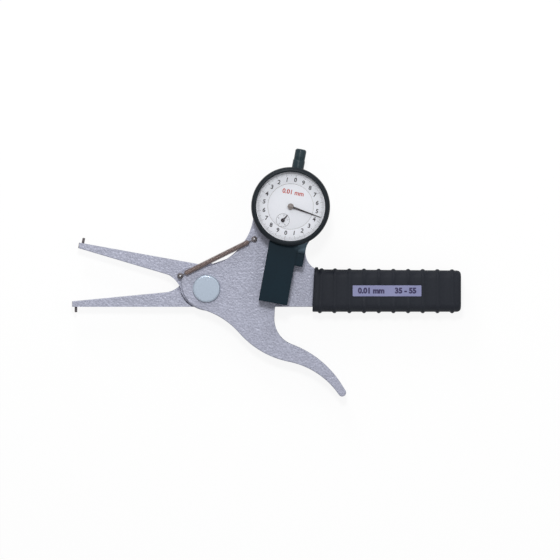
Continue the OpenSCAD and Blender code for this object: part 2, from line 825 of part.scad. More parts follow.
module anvil_pin() color(steel) translate(anvil_c) {
    rod(anvil_r, lap_front + anvil_foot, spindle_z + spindle_r);
}

module lever_bush() color(brass) difference() {
    rod(pivot_r + bush_w, lap_front, front_z);
    rod(pivot_r + run, mid_z, front_z + over);
}

rack_pitch = 2 * PI * rack_pinion_r / rack_pinion_teeth;
rack_first = -ceil(lift / rack_pitch) - 4;
rack_w = 3;
module spindle() color(steel) at_dial() difference() {
    axial(spindle_r, spindle_low + tip_len, spindle_top);
    for (k = [rack_first:4]) {
        translate([-spindle_r, counter_v + rack_pitch * k, spindle_z]) rotate(45)
            cube([tooth, tooth, rack_w], center = true);
    }
}

tip_edge = 0.4;
module contact_tip() color(steel) at_dial() translate([0, spindle_low, spindle_z]) rotate([-90, 0, 0])
    rotate_extrude() polygon([
        [0, 0], [spindle_r - tip_edge, 0], [spindle_r, tip_edge], [spindle_r, tip_len - tip_edge],
        [spindle_r - tip_edge, tip_len], [0, tip_len]
    ]);

module toothed(r, teeth, z0, z1) {
    difference() {
        rod(r, z0, z1);
        for (k = [0:teeth - 1]) {
            rotate(k * 360 / teeth) translate([r, 0, (z0 + z1) / 2]) rotate(45)
                cube([tooth, tooth, z1 - z0 + over], center = true);
        }
    }
}

// A flat tapering hand on a round hub
hand_t = 0.25;
hand_tip = 0.12;
module hand(reach, half_w, z, hub_r) {
    slab(z, z + hand_t) polygon([[-half_w, 0], [-hand_tip, reach], [hand_tip, reach], [half_w, 0]]);
    rod(hub_r, z, z + hand_t + arbor_end);
}

pointer_short = 1.9;
pointer_half_w = 0.55;
pointer_hub_r = 2;
module main_pointer() color(black) at_dial() difference() {
    rotate(-pointer_angle) hand(dial_r - pointer_short, pointer_half_w, pointer_z, pointer_hub_r);
    rod(arbor_r, pointer_z - over, pointer_z + arbor_end);
}

module centre_pinion() color(brass) at_dial() {
    rod(arbor_r, movement_z, pointer_z + arbor_end);
    toothed(pinion_r, train, wheel_z - seat_gap, wheel_z + wheel_t + seat_gap);
}

counter_reach = 4.6;
counter_half_w = 0.4;
counter_hub_r = 0.9;
module counter_pointer() color(black) at_dial() translate([counter_u, counter_v]) difference() {
    rotate(-counter_angle) hand(counter_reach, counter_half_w, counter_z, counter_hub_r);
    rod(arbor_r, counter_z - over, counter_z + arbor_end);
}

module counter_wheel() color(brass) at_dial() translate([counter_u, counter_v]) {
    rod(arbor_r, case_z + case_wall / 2 + fit, counter_z + arbor_end);
    toothed(wheel_r, train * train, wheel_z, wheel_z + wheel_t);
    toothed(rack_pinion_r, rack_pinion_teeth, spindle_z - rack_w * 0.4, spindle_z + rack_w * 0.4);
}

// Tube of round wire swept along a list of [point, side vector] pairs
module wire(path) {
    n = len(path);
    pts = [for (i = [0:n - 1])
        let (p = path[i][0], t = path[min(i + 1, n - 1)][0] - path[max(i - 1, 0)][0])
        let (b = cross(t, path[i][1]), e = b / norm(b), f = cross(e, t) / norm(t))
        for (k = [0:tube_sides - 1])
            p + wire_d / 2 * (cos(k * 360 / tube_sides) * f + sin(k * 360 / tube_sides) * e)];
    sides = [for (i = [0:n - 2], k = [0:tube_sides - 1])
        let (a = i * tube_sides + k, b = i * tube_sides + (k + 1) % tube_sides)
        each [[a, a + tube_sides, b], [b, a + tube_sides, b + tube_sides]]];
    start = [for (k = [1:tube_sides - 2]) [0, k, k + 1]];
    top = (n - 1) * tube_sides;
    end = [for (k = [1:tube_sides - 2]) [top, top + k + 1, top + k]];
    polyhedron(pts, concat(sides, start, end), convexity = 10);
}

// Spring's own axes: X from the ear's post towards the arm's post
module at_spring() {
    translate([ear_post.x, ear_post.y, wire_z]) rotate(spring_a) children();
}

up = [0, 0, 1];
function spread_at(i) = min(1, i / per_curl, (curls * per_curl - i) / per_curl);
function coil_ring(i) = let (a = 90 + i * 360 / per_curl, side = [0, cos(a), sin(a)])
    [[coil_start + i * coil_pitch / per_curl, 0, 0] + coil_d / 2 * spread_at(i) * side, side];
coil = [for (i = [0:curls * per_curl]) coil_ring(i)];
ear_loop = [for (a = [250:-25:0]) [[loop_r * cos(a), loop_r * sin(a), 0], up]];
arm_loop = [for (a = [-70:25:180]) [[loop_r * cos(a) + spring_len, loop_r * sin(a), 0], up]];
hook_join = 0.7;
gaps = [for (i = [0:len(coil) - 1], j = [i + 5:min(i + 11, len(coil) - 1)]) norm(coil[i][0] - coil[j][0])];
echo(spring_least_gap_mm = min(gaps) - wire_d);

module return_spring() color([0.44, 0.36, 0.33]) at_spring() wire(concat(
    ear_loop,
    [[[loop_r + hook_bend, 0.2, 0], up], [[coil_start - hook_bend, 0, 0], up]],
    coil,
    [[[coil_end + hook_join, 0, 0], up]]
));

module spring_hook() color([0.44, 0.36, 0.33]) at_spring() wire(concat(
    arm_loop,
    [[[spring_len - loop_r - hook_bend / 2, 0.1, 0], up], [[coil_end + hook_join + fit, 0, 0], up]]
));

frame_casting();
fixed_jaw();
fixed_contact();
fixed_jaw_screws();
rear_cover();
rear_cover_screws();
grip();
name_plate();
pivot_pin();
pivot_washer();
pivot_cap();
frame_spring_post();
dial_case();
upper_stem();
spindle_cap();
lower_stem();
spindle_guard();
guard_screws();
inner_dial();
movement_lower_plate();
movement_upper_plate();
movement_pillars();
spindle_spring();
bezel();
scale_ring();
crystal();
lever_casting();
moving_jaw();
moving_contact();
moving_jaw_screws();
jaw_spring_post();
anvil_pin();
lever_bush();
spindle();
contact_tip();
main_pointer();
centre_pinion();
counter_pointer();
counter_wheel();
return_spring();
spring_hook();
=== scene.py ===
import json
import math

import bmesh
import bpy
from mathutils import Matrix, Vector


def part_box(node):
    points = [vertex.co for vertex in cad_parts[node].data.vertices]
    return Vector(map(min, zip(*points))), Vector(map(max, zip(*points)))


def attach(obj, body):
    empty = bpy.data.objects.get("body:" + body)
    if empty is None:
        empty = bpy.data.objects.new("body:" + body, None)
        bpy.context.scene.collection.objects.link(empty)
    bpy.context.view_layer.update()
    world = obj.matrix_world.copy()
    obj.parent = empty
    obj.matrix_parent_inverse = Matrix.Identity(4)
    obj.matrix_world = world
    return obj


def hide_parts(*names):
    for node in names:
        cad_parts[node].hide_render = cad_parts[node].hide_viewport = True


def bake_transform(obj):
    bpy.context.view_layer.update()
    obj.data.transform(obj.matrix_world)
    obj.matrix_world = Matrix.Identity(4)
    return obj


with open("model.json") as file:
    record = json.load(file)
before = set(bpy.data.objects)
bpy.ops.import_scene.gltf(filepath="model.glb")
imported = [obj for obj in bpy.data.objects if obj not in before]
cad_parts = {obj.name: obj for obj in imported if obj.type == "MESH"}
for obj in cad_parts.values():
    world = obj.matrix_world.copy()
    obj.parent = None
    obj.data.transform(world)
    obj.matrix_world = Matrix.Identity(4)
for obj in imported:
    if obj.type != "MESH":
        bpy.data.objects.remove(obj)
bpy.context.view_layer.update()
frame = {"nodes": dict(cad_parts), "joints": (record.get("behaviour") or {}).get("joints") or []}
nodes = frame["nodes"]
joints = {j["name"]: j for j in frame["joints"]}
mm = 0.001
print("frame loaded:", len(nodes), "nodes")

# where the gauge and the ear's spring post sit, and how the gauge's axis leans
dialCentre = Vector(joints["bezel_turn"]["pos_m"])
counterCentre = Vector(joints["counter_spin"]["pos_m"])
gaugeAxis = Vector(joints["spindle_slide"]["axis"])
earPost = Vector(joints["spring_swing"]["pos_m"])
gaugeLean = math.atan2(gaugeAxis.x, gaugeAxis.y)
origin = Vector((0, 0, 0))  # the lever's pivot


# shader helpers

noiseRange = {"From Min": 0.3, "From Max": 0.7}  # where nearly all of a noise's values lie


def link(tree, source, target):
    tree.links.new(source, target)


def addNode(tree, kind, **values):
    node = tree.nodes.new(kind)
    for key, value in values.items():
        setattr(node, key, value)
    return node


# a socket takes a plain value or another node's output
def feed(tree, socket, value):
    if isinstance(value, (int, float, tuple)):
        socket.default_value = value
    else:
        link(tree, value, socket)


def feedAll(tree, node, values):
    for label, value in values.items():
        feed(tree, node.inputs[label], value)


colourSocket, floatSocket = "NodeSocketColor", "NodeSocketFloat"


def groupShell(name, inputs, outputs):
    tree = bpy.data.node_groups.new(name, "ShaderNodeTree")
    for way, sockets in (("INPUT", inputs), ("OUTPUT", outputs)):
        for label, kind in sockets.items():
            tree.interface.new_socket(name=label, in_out=way, socket_type=kind)
    return tree, tree.nodes.new("NodeGroupInput"), tree.nodes.new("NodeGroupOutput")


def objectPoint(tree):
    return addNode(tree, "ShaderNodeTexCoord").outputs["Object"]


def mathNode(tree, operation, a, b=0.0):
    node = addNode(tree, "ShaderNodeMath", operation=operation)
    for socket, value in zip(node.inputs, (a, b)):
        feed(tree, socket, value)
    return node.outputs[0]


def spread(tree, value, low=0.0, high=1.0):
    node = addNode(tree, "ShaderNodeMapRange")
    feedAll(tree, node, {"Value": value, **noiseRange, "To Min": low, "To Max": high})
    return node.outputs["Result"]


def mixColour(tree, factor, a, b):
    node = addNode(tree, "ShaderNodeMix", data_type="RGBA")
    link(tree, factor, node.inputs["Factor"])
    colours = [s for s in node.inputs if s.type == "RGBA"]
    for socket, value in zip(colours, (a, b)):
        feed(tree, socket, value)
    return [s for s in node.outputs if s.type == "RGBA"][0]


def noise(tree, point, scale, detail=3.0, roughness=0.55):
    node = addNode(tree, "ShaderNodeTexNoise")
    feedAll(tree, node, {"Vector": point, "Scale": scale, "Detail": detail, "Roughness": roughness})
    return node.outputs["Fac"]


# handled surface: wide and fine patches that are a little duller, paler or cleaner
handledLook = {"patchDetail": 4.0, "fineTimes": 9.0, "fineDetail": 2.0}


def makeHandled():
    look = handledLook
    tree, source, target = groupShell(
        "handledSurface",
        {"Colour": colourSocket, "Worn Colour": colourSocket, "Roughness Low": floatSocket,
         "Roughness High": floatSocket, "Patch Scale": floatSocket},
        {"Colour": colourSocket, "Roughness": floatSocket})
    given = source.outputs
    point = objectPoint(tree)
    patches = noise(tree, point, given["Patch Scale"], look["patchDetail"])
    fineScale = mathNode(tree, "MULTIPLY", given["Patch Scale"], look["fineTimes"])
    fine = noise(tree, point, fineScale, look["fineDetail"])
    average = mathNode(tree, "MULTIPLY", mathNode(tree, "ADD", patches, fine), 0.5)
    colour = mixColour(tree, spread(tree, average), given["Colour"], given["Worn Colour"])
    roughness = spread(tree, average, given["Roughness Low"], given["Roughness High"])
    feedAll(tree, target, {"Colour": colour, "Roughness": roughness})
    return tree


# moulded or sprayed grain, as a height
def makeGrain():
    tree, source, target = groupShell("surfaceGrain", {"Grain Scale": floatSocket}, {"Height": floatSocket})
    link(tree, noise(tree, objectPoint(tree), source.outputs["Grain Scale"]), target.inputs["Height"])
    return tree


# lathe marks round an upright axis, as a height and a mask
def makeTurning():
    tree, source, target = groupShell(
        "turningMarks", {"Centre X": floatSocket, "Centre Y": floatSocket, "Mark Scale": floatSocket},
        {"Height": floatSocket, "Mask": floatSocket})
    split = addNode(tree, "ShaderNodeSeparateXYZ")
    link(tree, objectPoint(tree), split.inputs[0])
    dx = mathNode(tree, "SUBTRACT", split.outputs[0], source.outputs["Centre X"])
    dy = mathNode(tree, "SUBTRACT", split.outputs[1], source.outputs["Centre Y"])
    square = mathNode(tree, "ADD", mathNode(tree, "MULTIPLY", dx, dx), mathNode(tree, "MULTIPLY", dy, dy))
    join = addNode(tree, "ShaderNodeCombineXYZ")
    link(tree, mathNode(tree, "SQRT", square), join.inputs[0])
    link(tree, split.outputs[2], join.inputs[2])
    marks = noise(tree, join.outputs[0], source.outputs["Mark Scale"], detail=4.0, roughness=0.7)
    feedAll(tree, target, {"Height": marks, "Mask": spread(tree, marks)})
    return tree


handledGroup = makeHandled()
grainGroup = makeGrain()
turningGroup = makeTurning()


def placeGroup(tree, group, values):
    node = addNode(tree, "ShaderNodeGroup", node_tree=group)
    feedAll(tree, node, values)
    return node.outputs


def startMaterial(name, look):
    material = bpy.data.materials.new(name)
    material.use_nodes = True
    tree = material.node_tree
    shader = tree.nodes["Principled BSDF"]
    feedAll(tree, shader, {"Metallic": look.get("metallic", 0.0),
                           "Specular IOR Level": look.get("specular", 0.5)})
    return material, tree, shader


def dress(tree, shader, colour, roughness, height, depth):
    bump = addNode(tree, "ShaderNodeBump")
    feedAll(tree, bump, {"Distance": depth, "Height": height})
    feedAll(tree, shader, {"Base Color": colour, "Roughness": roughness, "Normal": bump.outputs["Normal"]})


def mixShaders(tree, share, first, second):
    mix = addNode(tree, "ShaderNodeMixShader")
    for source, socket in zip((share, first.outputs[0], second.outputs[0]), mix.inputs):
        link(tree, source, socket)
    return mix.outputs[0]


# painted sheen: paint made paler round one spot, fading outwards, in place of light caught there
def rubbedSpot(tree, colour, spot):
    away = addNode(tree, "ShaderNodeVectorMath", operation="DISTANCE")
    link(tree, objectPoint(tree), away.inputs[0])
    away.inputs[1].default_value = spot["centre"]
    fade = addNode(tree, "ShaderNodeMapRange", interpolation_type="SMOOTHSTEP")
    feedAll(tree, fade, {"Value": away.outputs["Value"], "From Min": spot["inside"],
                         "From Max": spot["outside"], "To Min": 1.0, "To Max": 0.0})
    return mixColour(tree, fade.outputs["Result"], colour, spot["colour"])


# a painted, moulded or plated finish: handled colour and a fine grain
def grainedFinish(name, look):
    material, tree, shader = startMaterial(name, look)
    low, high = look["rough"]
    handled = placeGroup(tree, handledGroup, {
        "Colour": look["colour"], "Worn Colour": look["worn"], "Roughness Low": low, "Roughness High": high,
        "Patch Scale": look.get("patch", 60.0)})
    colour = handled["Colour"]
    # a painted sheen spot, where the look gives one
    if "paintedSheen" in look:
        colour = rubbedSpot(tree, colour, look["paintedSheen"])
    grain = placeGroup(tree, grainGroup, {"Grain Scale": look["grain"]})
    dress(tree, shader, colour, handled["Roughness"], grain["Height"], look["depth"])
    return material


# a turned metal: marks round an upright axis
def turnedFinish(name, look, centre):
    material, tree, shader = startMaterial(name, look)
    marks = placeGroup(tree, turningGroup, {"Centre X": centre.x, "Centre Y": centre.y,
                                            "Mark Scale": look["marks"]})
    colour = mixColour(tree, marks["Mask"], look["colour"], look["worn"])
    roughness = spread(tree, marks["Height"], *look["rough"])
    dress(tree, shader, colour, roughness, marks["Height"], look["depth"])
    return material


# hammer-finish paint on the castings: soft irregular dents, dark in the hollows, with a fine flake in it
hammerLook = {"raised": (0.43, 0.445, 0.55, 1), "hollow": (0.2, 0.207, 0.268, 1), "dent": 660.0, "soft": 0.3,
              "ripple": 1400.0, "flake": 1900.0, "cloud": 70.0, "depth": 0.0002, "rough": (0.32, 0.46),
              "metallic": 0.1, "specular": 0.4, "coat": 0.1, "coatRough": 0.3, "warpScale": 0.9,
              "warpPush": 1.2, "rippleShare": 0.35, "dentShare": 0.62, "cloudShare": 0.14, "flakeShare": 0.36}


def hammerFinish():
    look = hammerLook
    material, tree, shader = startMaterial("hammerPaint", look)
    feedAll(tree, shader, {"Coat Weight": look["coat"], "Coat Roughness": look["coatRough"]})
    point = objectPoint(tree)
    warp = addNode(tree, "ShaderNodeTexNoise")
    feedAll(tree, warp, {"Vector": point, "Scale": look["dent"] * look["warpScale"]})
    push = addNode(tree, "ShaderNodeVectorMath", operation="SCALE")
    push.inputs["Scale"].default_value = look["warpPush"] / look["dent"]
    link(tree, warp.outputs["Color"], push.inputs[0])
    moved = addNode(tree, "ShaderNodeVectorMath", operation="ADD")
    link(tree, point, moved.inputs[0])
    link(tree, push.outputs[0], moved.inputs[1])
    dents = addNode(tree, "ShaderNodeTexVoronoi", feature="SMOOTH_F1")
    feedAll(tree, dents, {"Vector": moved.outputs[0], "Scale": look["dent"], "Smoothness": look["soft"]})
    ripple = noise(tree, point, look["ripple"], detail=1.0)
    ripples = mathNode(tree, "MULTIPLY", ripple, look["rippleShare"])
    height = mathNode(tree, "ADD", dents.outputs["Distance"], ripples)
    cloud = spread(tree, noise(tree, point, look["cloud"]))
    flake = spread(tree, noise(tree, point, look["flake"], detail=1.0))
    clouds = mathNode(tree, "MULTIPLY", cloud, look["cloudShare"])
    flakes = mathNode(tree, "MULTIPLY", flake, look["flakeShare"])
    hollows = mathNode(tree, "MULTIPLY", height, look["dentShare"])
    tone = mathNode(tree, "ADD", hollows, mathNode(tree, "ADD", clouds, flakes))
    colour = mixColour(tree, tone, look["hollow"], look["raised"])
    dress(tree, shader, colour, spread(tree, flake, *look["rough"]), height, look["depth"])
    return material


# window: clear, lets the lamps through to the dial
windowLook = {"colour": (0.98, 0.99, 1.0, 1), "specular": 0.35, "ior": 1.2, "rough": 0.03, "patch": 80.0}


def windowFinish():
    look = windowLook
    material, tree, shader = startMaterial("windowAcrylic", look)
    feedAll(tree, shader, {"Base Color": look["colour"], "Transmission Weight": 1.0, "IOR": look["ior"]})
    smear = placeGroup(tree, handledGroup, {"Roughness Low": 0.0, "Roughness High": look["rough"],
                                            "Patch Scale": look["patch"]})
    link(tree, smear["Roughness"], shader.inputs["Roughness"])
    path = addNode(tree, "ShaderNodeLightPath")
    through = mathNode(tree, "MAXIMUM", path.outputs["Is Shadow Ray"], path.outputs["Is Diffuse Ray"])
    mixed = mixShaders(tree, through, shader, addNode(tree, "ShaderNodeBsdfTransparent"))
    link(tree, mixed, tree.nodes["Material Output"].inputs["Surface"])
    return material


hammerPaint = hammerFinish()
windowAcrylic = windowFinish()
blackSatin = grainedFinish("blackSatin", {
    "colour": (0.0085, 0.012, 0.016, 1), "worn": (0.014, 0.019, 0.024, 1), "rough": (0.3, 0.42),
    "grain": 3200.0, "depth": 0.000005, "specular": 0.11})
stemBlack = grainedFinish("stemBlack", {
    "colour": (0.012, 0.026, 0.034, 1), "worn": (0.02, 0.037, 0.046, 1), "rough": (0.26, 0.38),
    "grain": 3200.0, "depth": 0.000005, "specular": 0.2})
guardBlack = grainedFinish("guardBlack", {
    "colour": (0.001, 0.0095, 0.017, 1), "worn": (0.003, 0.014, 0.023, 1), "rough": (0.4, 0.52),
    "grain": 2600.0, "depth": 0.00001, "specular": 0.11,
    # painted sheen: a paler slate patch on the sloped fillet beside the bezel, for the light that slope
    # catches
    "paintedSheen": {"centre": (0.0716, 0.034, 0.0246), "inside": 0.001, "outside": 0.0095,
               "colour": (0.15, 0.225, 0.285, 1)}})
gripRubber = grainedFinish("gripRubber", {
    "colour": (0.0095, 0.0115, 0.0175, 1), "worn": (0.017, 0.02, 0.027, 1), "rough": (0.5, 0.66),
    "grain": 2200.0, "depth": 0.00002, "specular": 0.16})
dialWhite = grainedFinish("dialWhite", {
    "colour": (0.745, 0.755, 0.80, 1), "worn": (0.78, 0.785, 0.825, 1), "rough": (0.5, 0.6),
    "grain": 3000.0, "depth": 0.000003, "specular": 0.25})
pointerBlack = grainedFinish("pointerBlack", {
    "colour": (0.022, 0.016, 0.02, 1), "worn": (0.04, 0.032, 0.037, 1), "rough": (0.4, 0.55),
    "grain": 3000.0, "depth": 0.000003, "specular": 0.15})
anyInk = {"rough": (0.5, 0.6), "grain": 4000.0, "depth": 0.000002, "specular": 0.2}
plateInk = grainedFinish("plateInk", {
    **anyInk, "colour": (0.03, 0.025, 0.075, 1), "worn": (0.055, 0.048, 0.11, 1)})
dialInk = grainedFinish("dialInk", {
    **anyInk, "colour": (0.02, 0.018, 0.024, 1), "worn": (0.05, 0.046, 0.055, 1)})
redInk = grainedFinish("redInk", {
    **anyInk, "colour": (0.40, 0.035, 0.02, 1), "worn": (0.47, 0.06, 0.045, 1)})
plateFoil = grainedFinish("plateFoil", {
    "colour": (0.212, 0.22, 0.395, 1), "worn": (0.261, 0.27, 0.442, 1), "rough": (0.38, 0.5),
    "grain": 2600.0, "depth": 0.000004, "specular": 0.3})
springWire = grainedFinish("springWire", {
    "colour": (0.185, 0.137, 0.13, 1), "worn": (0.29, 0.228, 0.215, 1), "rough": (0.28, 0.45),
    "grain": 2600.0, "depth": 0.000006, "metallic": 0.6, "patch": 300.0})
pinSteel = grainedFinish("pinSteel", {
    "colour": (0.055, 0.048, 0.055, 1), "worn": (0.13, 0.115, 0.12, 1), "rough": (0.3, 0.45),
    "grain": 3000.0, "depth": 0.000004, "metallic": 0.5, "patch": 400.0})
tipSteel = grainedFinish("tipSteel", {
    "colour": (0.17, 0.155, 0.14, 1), "worn": (0.25, 0.228, 0.21, 1), "rough": (0.4, 0.55),
    "grain": 3000.0, "depth": 0.000004, "metallic": 0.3, "patch": 400.0})
postSteel = grainedFinish("postSteel", {
    "colour": (0.33, 0.33, 0.35, 1), "worn": (0.43, 0.43, 0.45, 1), "rough": (0.28, 0.42),
    "grain": 2600.0, "depth": 0.000004, "metallic": 0.9, "patch": 300.0})
brassLook = {"colour": (0.23, 0.19, 0.13, 1), "worn": (0.30, 0.26, 0.18, 1), "rough": (0.3, 0.45),
             "marks": 2400.0, "depth": 0.000004, "metallic": 1.0}
gaugeBrass = turnedFinish("gaugeBrass", brassLook, dialCentre)
pivotBrass = turnedFinish("pivotBrass", brassLook, origin)
hubBrass = turnedFinish("hubBrass", {
    "colour": (0.14, 0.118, 0.112, 1), "worn": (0.185, 0.158, 0.15, 1), "rough": (0.35, 0.5),
    "marks": 2400.0, "depth": 0.000004, "metallic": 0.3}, dialCentre)
pivotSteel = turnedFinish("pivotSteel", {
    "colour": (0.42, 0.42, 0.43, 1), "worn": (0.55, 0.55, 0.56, 1), "rough": (0.24, 0.4),
    "marks": 2400.0, "depth": 0.000004, "metallic": 1.0}, origin)
capAlloy = turnedFinish("capAlloy", {
    "colour": (0.385, 0.452, 0.545, 1), "worn": (0.405, 0.472, 0.564, 1), "rough": (0.22, 0.28),
    "marks": 3400.0, "depth": 0.0000006, "metallic": 0.3}, origin)
print("finishes made:", len(bpy.data.materials))


# modelling helpers

meshing = {"solidWeld": 0.002 * mm, "weld": 0.001 * mm, "sliver": 0.0005 * mm, "same": 0.01 * mm,
           "onAxis": 1e-9, "flatAngle": math.radians(0.4), "edgeAngle": math.radians(35)}


def shade(bm, sharpAngle=40):
    limit = math.radians(sharpAngle)
    for face in bm.faces:
        face.smooth = True
    for edge in bm.edges:
        edge.smooth = len(edge.link_faces) == 2 and edge.calc_face_angle(0) < limit


def addObject(name, bm, *finishes):
    mesh = bpy.data.meshes.new(name)
    bm.to_mesh(mesh)
    bm.free()
    for finish in finishes:
        mesh.materials.append(finish)
    piece = bpy.data.objects.new(name, mesh)
    bpy.context.scene.collection.objects.link(piece)
    return piece


def finishPiece(name, bm, body, finish, replaced=(), keepFlat=False):
    shade(bm)
    piece = addObject(name, bm, finish)
    if keepFlat:  # large flats keep flat shading beside their rounded edges
        piece.modifiers.new("flats", "WEIGHTED_NORMAL").keep_sharp = True
    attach(piece, body)
    if replaced:
        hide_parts(*replaced)
    return piece


def place(bm, turn=0.0, move=(0, 0, 0)):
    matrix = Matrix.Translation(move) @ Matrix.Rotation(turn, 4, "Z")
    bmesh.ops.transform(bm, matrix=matrix, verts=bm.verts)


def joinInto(bm, other):
    mesh = bpy.data.meshes.new("joining")
    other.to_mesh(mesh)
    other.free()
    bm.from_mesh(mesh)
    bpy.data.meshes.remove(mesh)


def solidCopy(nodeName):
    bm = bmesh.new()
    bm.from_mesh(nodes[nodeName].data)
    bmesh.ops.remove_doubles(bm, verts=bm.verts, dist=meshing["solidWeld"])
    bmesh.ops.dissolve_limit(bm, angle_limit=meshing["flatAngle"], verts=bm.verts, edges=bm.edges)
    return bm


# a curve's surface; the curve itself goes
def curveShape(curve, weld):
    holder = bpy.data.objects.new(curve.name, curve)
    mesh = bpy.data.meshes.new_from_object(holder)
    bm = bmesh.new()
    bm.from_mesh(mesh)
    bmesh.ops.remove_doubles(bm, verts=bm.verts, dist=weld)
    bpy.data.objects.remove(holder)
    bpy.data.curves.remove(curve)
    bpy.data.meshes.remove(mesh)
    return bm


def roundEdges(bm, width, chosen, segments=3):
    edges = [e for e in bm.edges if len(e.link_faces) == 2 and e.is_convex
             and e.calc_face_angle(0) > meshing["edgeAngle"] and chosen(e)]
    bmesh.ops.bevel(bm, geom=edges, offset=width, offset_type="OFFSET", segments=segments, profile=0.5,
                    affect="EDGES", clamp_overlap=False, material=-1)


def level(edge, *heights):
    return any(all(abs(v.co.z - z) < meshing["same"] for v in edge.verts) for z in heights)


def reach(edge, centre=origin):
    return [math.hypot(v.co.x - centre[0], v.co.y - centre[1]) for v in edge.verts]


# half width along X, foot and top of a solid, in millimetres
def sizeOf(node):
    low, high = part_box(node)
    return (high.x - low.x) / 2 / mm, low.z / mm, high.z / mm


# a piece turned on a lathe: profile points are (radius, height, corner rounding) in millimetres
def turnedShape(profile, steps, centre=origin):
    bm = bmesh.new()
    corners = [bm.verts.new((r * mm, 0, z * mm)) for r, z, rounding in profile]
    bm.faces.new(corners)
    for corner, (r, z, rounding) in zip(corners, profile):
        if rounding:
            bmesh.ops.bevel(bm, geom=[corner], offset=rounding * mm, segments=4, profile=0.5,
                            affect="VERTICES", material=-1)
    bmesh.ops.delete(bm, geom=bm.faces[:], context="FACES_ONLY")
    axisEdges = [e for e in bm.edges if all(abs(v.co.x) < meshing["onAxis"] for v in e.verts)]
    bmesh.ops.delete(bm, geom=axisEdges, context="EDGES")
    bmesh.ops.spin(bm, geom=bm.verts[:] + bm.edges[:], cent=(0, 0, 0), axis=(0, 0, 1),
                   angle=math.tau, steps=steps, use_merge=True)
    bmesh.ops.remove_doubles(bm, verts=bm.verts, dist=meshing["weld"])
    bmesh.ops.dissolve_degenerate(bm, edges=bm.edges, dist=meshing["sliver"])
    bmesh.ops.recalc_face_normals(bm, faces=bm.faces)
    place(bm, move=(centre.x, centre.y, 0))
    return bm


# along the gauge's own axis, starting from the dial's centre
def alongGauge(bm, height):
    matrix = (Matrix.Translation((dialCentre.x, dialCentre.y, height))
              @ Matrix.Rotation(-gaugeLean, 4, "Z") @ Matrix.Rotation(math.radians(-90), 4, "X"))
    bmesh.ops.transform(bm, matrix=matrix, verts=bm.verts)


# castings and arms: the solids with worn, rounded outlines

castingLook = {"round": 0.8 * mm, "armRound": 0.6 * mm, "seamReach": 30 * mm, "seamArc": 46.5 * mm,
               "seamClose": 0.2 * mm, "seamFind": 0.02 * mm, "leverBore": 8 * mm, "frameBore": 18 * mm,
               "boss": 24 * mm, "postHole": 3 * mm, "armRoot": 27 * mm, "pinRound": 0.55 * mm,
               "pinFacing": 0.9, "bareTip": 0.7 * mm, "tipFacing": -0.3}
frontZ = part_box("lever_casting")[1].z
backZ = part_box("frame_casting")[0].z
armLow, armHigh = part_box("fixed_jaw")[0].z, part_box("moving_jaw")[1].z


# an edge on an arc round the pivot is part of the sliding seam between lever and frame, which stays sharp
def onSeam(edge):
    first, second = reach(edge)
    return abs(first - second) < meshing["same"] and first > castingLook["seamReach"]


def outerOutline(edge, heights, bores):
    if not level(edge, *heights) or onSeam(edge):
        return False
    return all(min(reach(edge, centre)) > radius for centre, radius in bores)


# the lever's seam arc comes up to a hairline from the frame's
def closeSeam(bm):
    look = castingLook
    for vert in bm.verts:
        away = math.hypot(vert.co.x, vert.co.y)
        if abs(away - look["seamArc"]) < look["seamFind"]:
            grown = (look["seamArc"] + look["seamClose"]) / away
            vert.co.x *= grown
            vert.co.y *= grown


def makeCastings():
    look = castingLook
    leverBores = [(origin, look["leverBore"])]
    frameBores = [(origin, look["frameBore"]), (dialCentre, look["boss"]), (earPost, look["postHole"])]
    for name, body, bores in (("lever_casting", "lever", leverBores), ("frame_casting", "frame", frameBores)):
        bm = solidCopy(name)
        if body == "lever":
            closeSeam(bm)
        roundEdges(bm, look["round"], lambda e: outerOutline(e, (frontZ, backZ), bores))
        piece = name.replace("casting", "body")
        finishPiece(piece, bm, body, hammerPaint, [name], keepFlat=True)
    armBores = [(origin, look["armRoot"])]
    for name, body in (("fixed_jaw", "frame"), ("moving_jaw", "lever")):
        bm = solidCopy(name)
        roundEdges(bm, look["armRound"], lambda e: outerOutline(e, (armLow, armHigh), armBores))
        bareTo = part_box(name)[0].x + look["bareTip"]
        for face in bm.faces:  # the paint is worn off at the arm's end
            if face.normal.x < look["tipFacing"] and face.calc_center_median().x < bareTo:
                face.material_index = 1
        piece = name.replace("jaw", "arm")
        arm = finishPiece(piece, bm, body, hammerPaint, [name], keepFlat=True)
        arm.data.materials.append(tipSteel)

    def onPinEnd(edge):
        return any(abs(f.normal.y) > look["pinFacing"] for f in edge.link_faces)

    for name, body in (("fixed_contact", "frame"), ("moving_contact", "lever")):
        bm = solidCopy(name)
        roundEdges(bm, look["pinRound"], onPinEnd)
        finishPiece(name + "_pin", bm, body, pinSteel, [name])
    print("castings rounded")


makeCastings()


# pivot: the pale cap in front and the pin's head behind

pivotLook = {"capEdge": 0.95, "capCurl": 0.5, "capFoot": 0.2, "footRound": 0.1, "capRise": 0.02,
             "headRadius": 9.0, "headEdge": 0.8, "headRound": 0.3, "pinRadius": 5.0, "intoCap": 0.5}


def makePivot():
    look = pivotLook
    low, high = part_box("pivot_cap")
    r, z0, z1 = high.x / mm, low.z / mm, high.z / mm
    edge, curl, foot, footRound = look["capEdge"], look["capCurl"], look["capFoot"], look["footRound"]
    cap = turnedShape([(0, z0, 0), (r - foot, z0, footRound), (r, z0 + foot, footRound), (r, z1 - edge, curl),
                       (r - edge, z1, curl), (0, z1 + look["capRise"], 0)], steps=128)
    finishPiece("pivot_disc", cap, "frame", capAlloy, ["pivot_cap"], keepFlat=True)
    head, edge, pin = look["headRadius"], look["headEdge"], look["pinRadius"]
    behind, top = backZ / mm, z0 + look["intoCap"]
    bolt = turnedShape([(0, 0, 0), (head - edge, 0, look["headRound"]), (head, edge, look["headRound"]),
                        (head, behind, 0), (pin, behind, 0), (pin, top, 0), (0, top, 0)], steps=96)
    finishPiece("pivot_bolt", bolt, "frame", pivotSteel, ["pivot_pin"])
    print("pivot turned")


makePivot()


# gauge: case, bezel, window and dials, all turned round the dial's centre

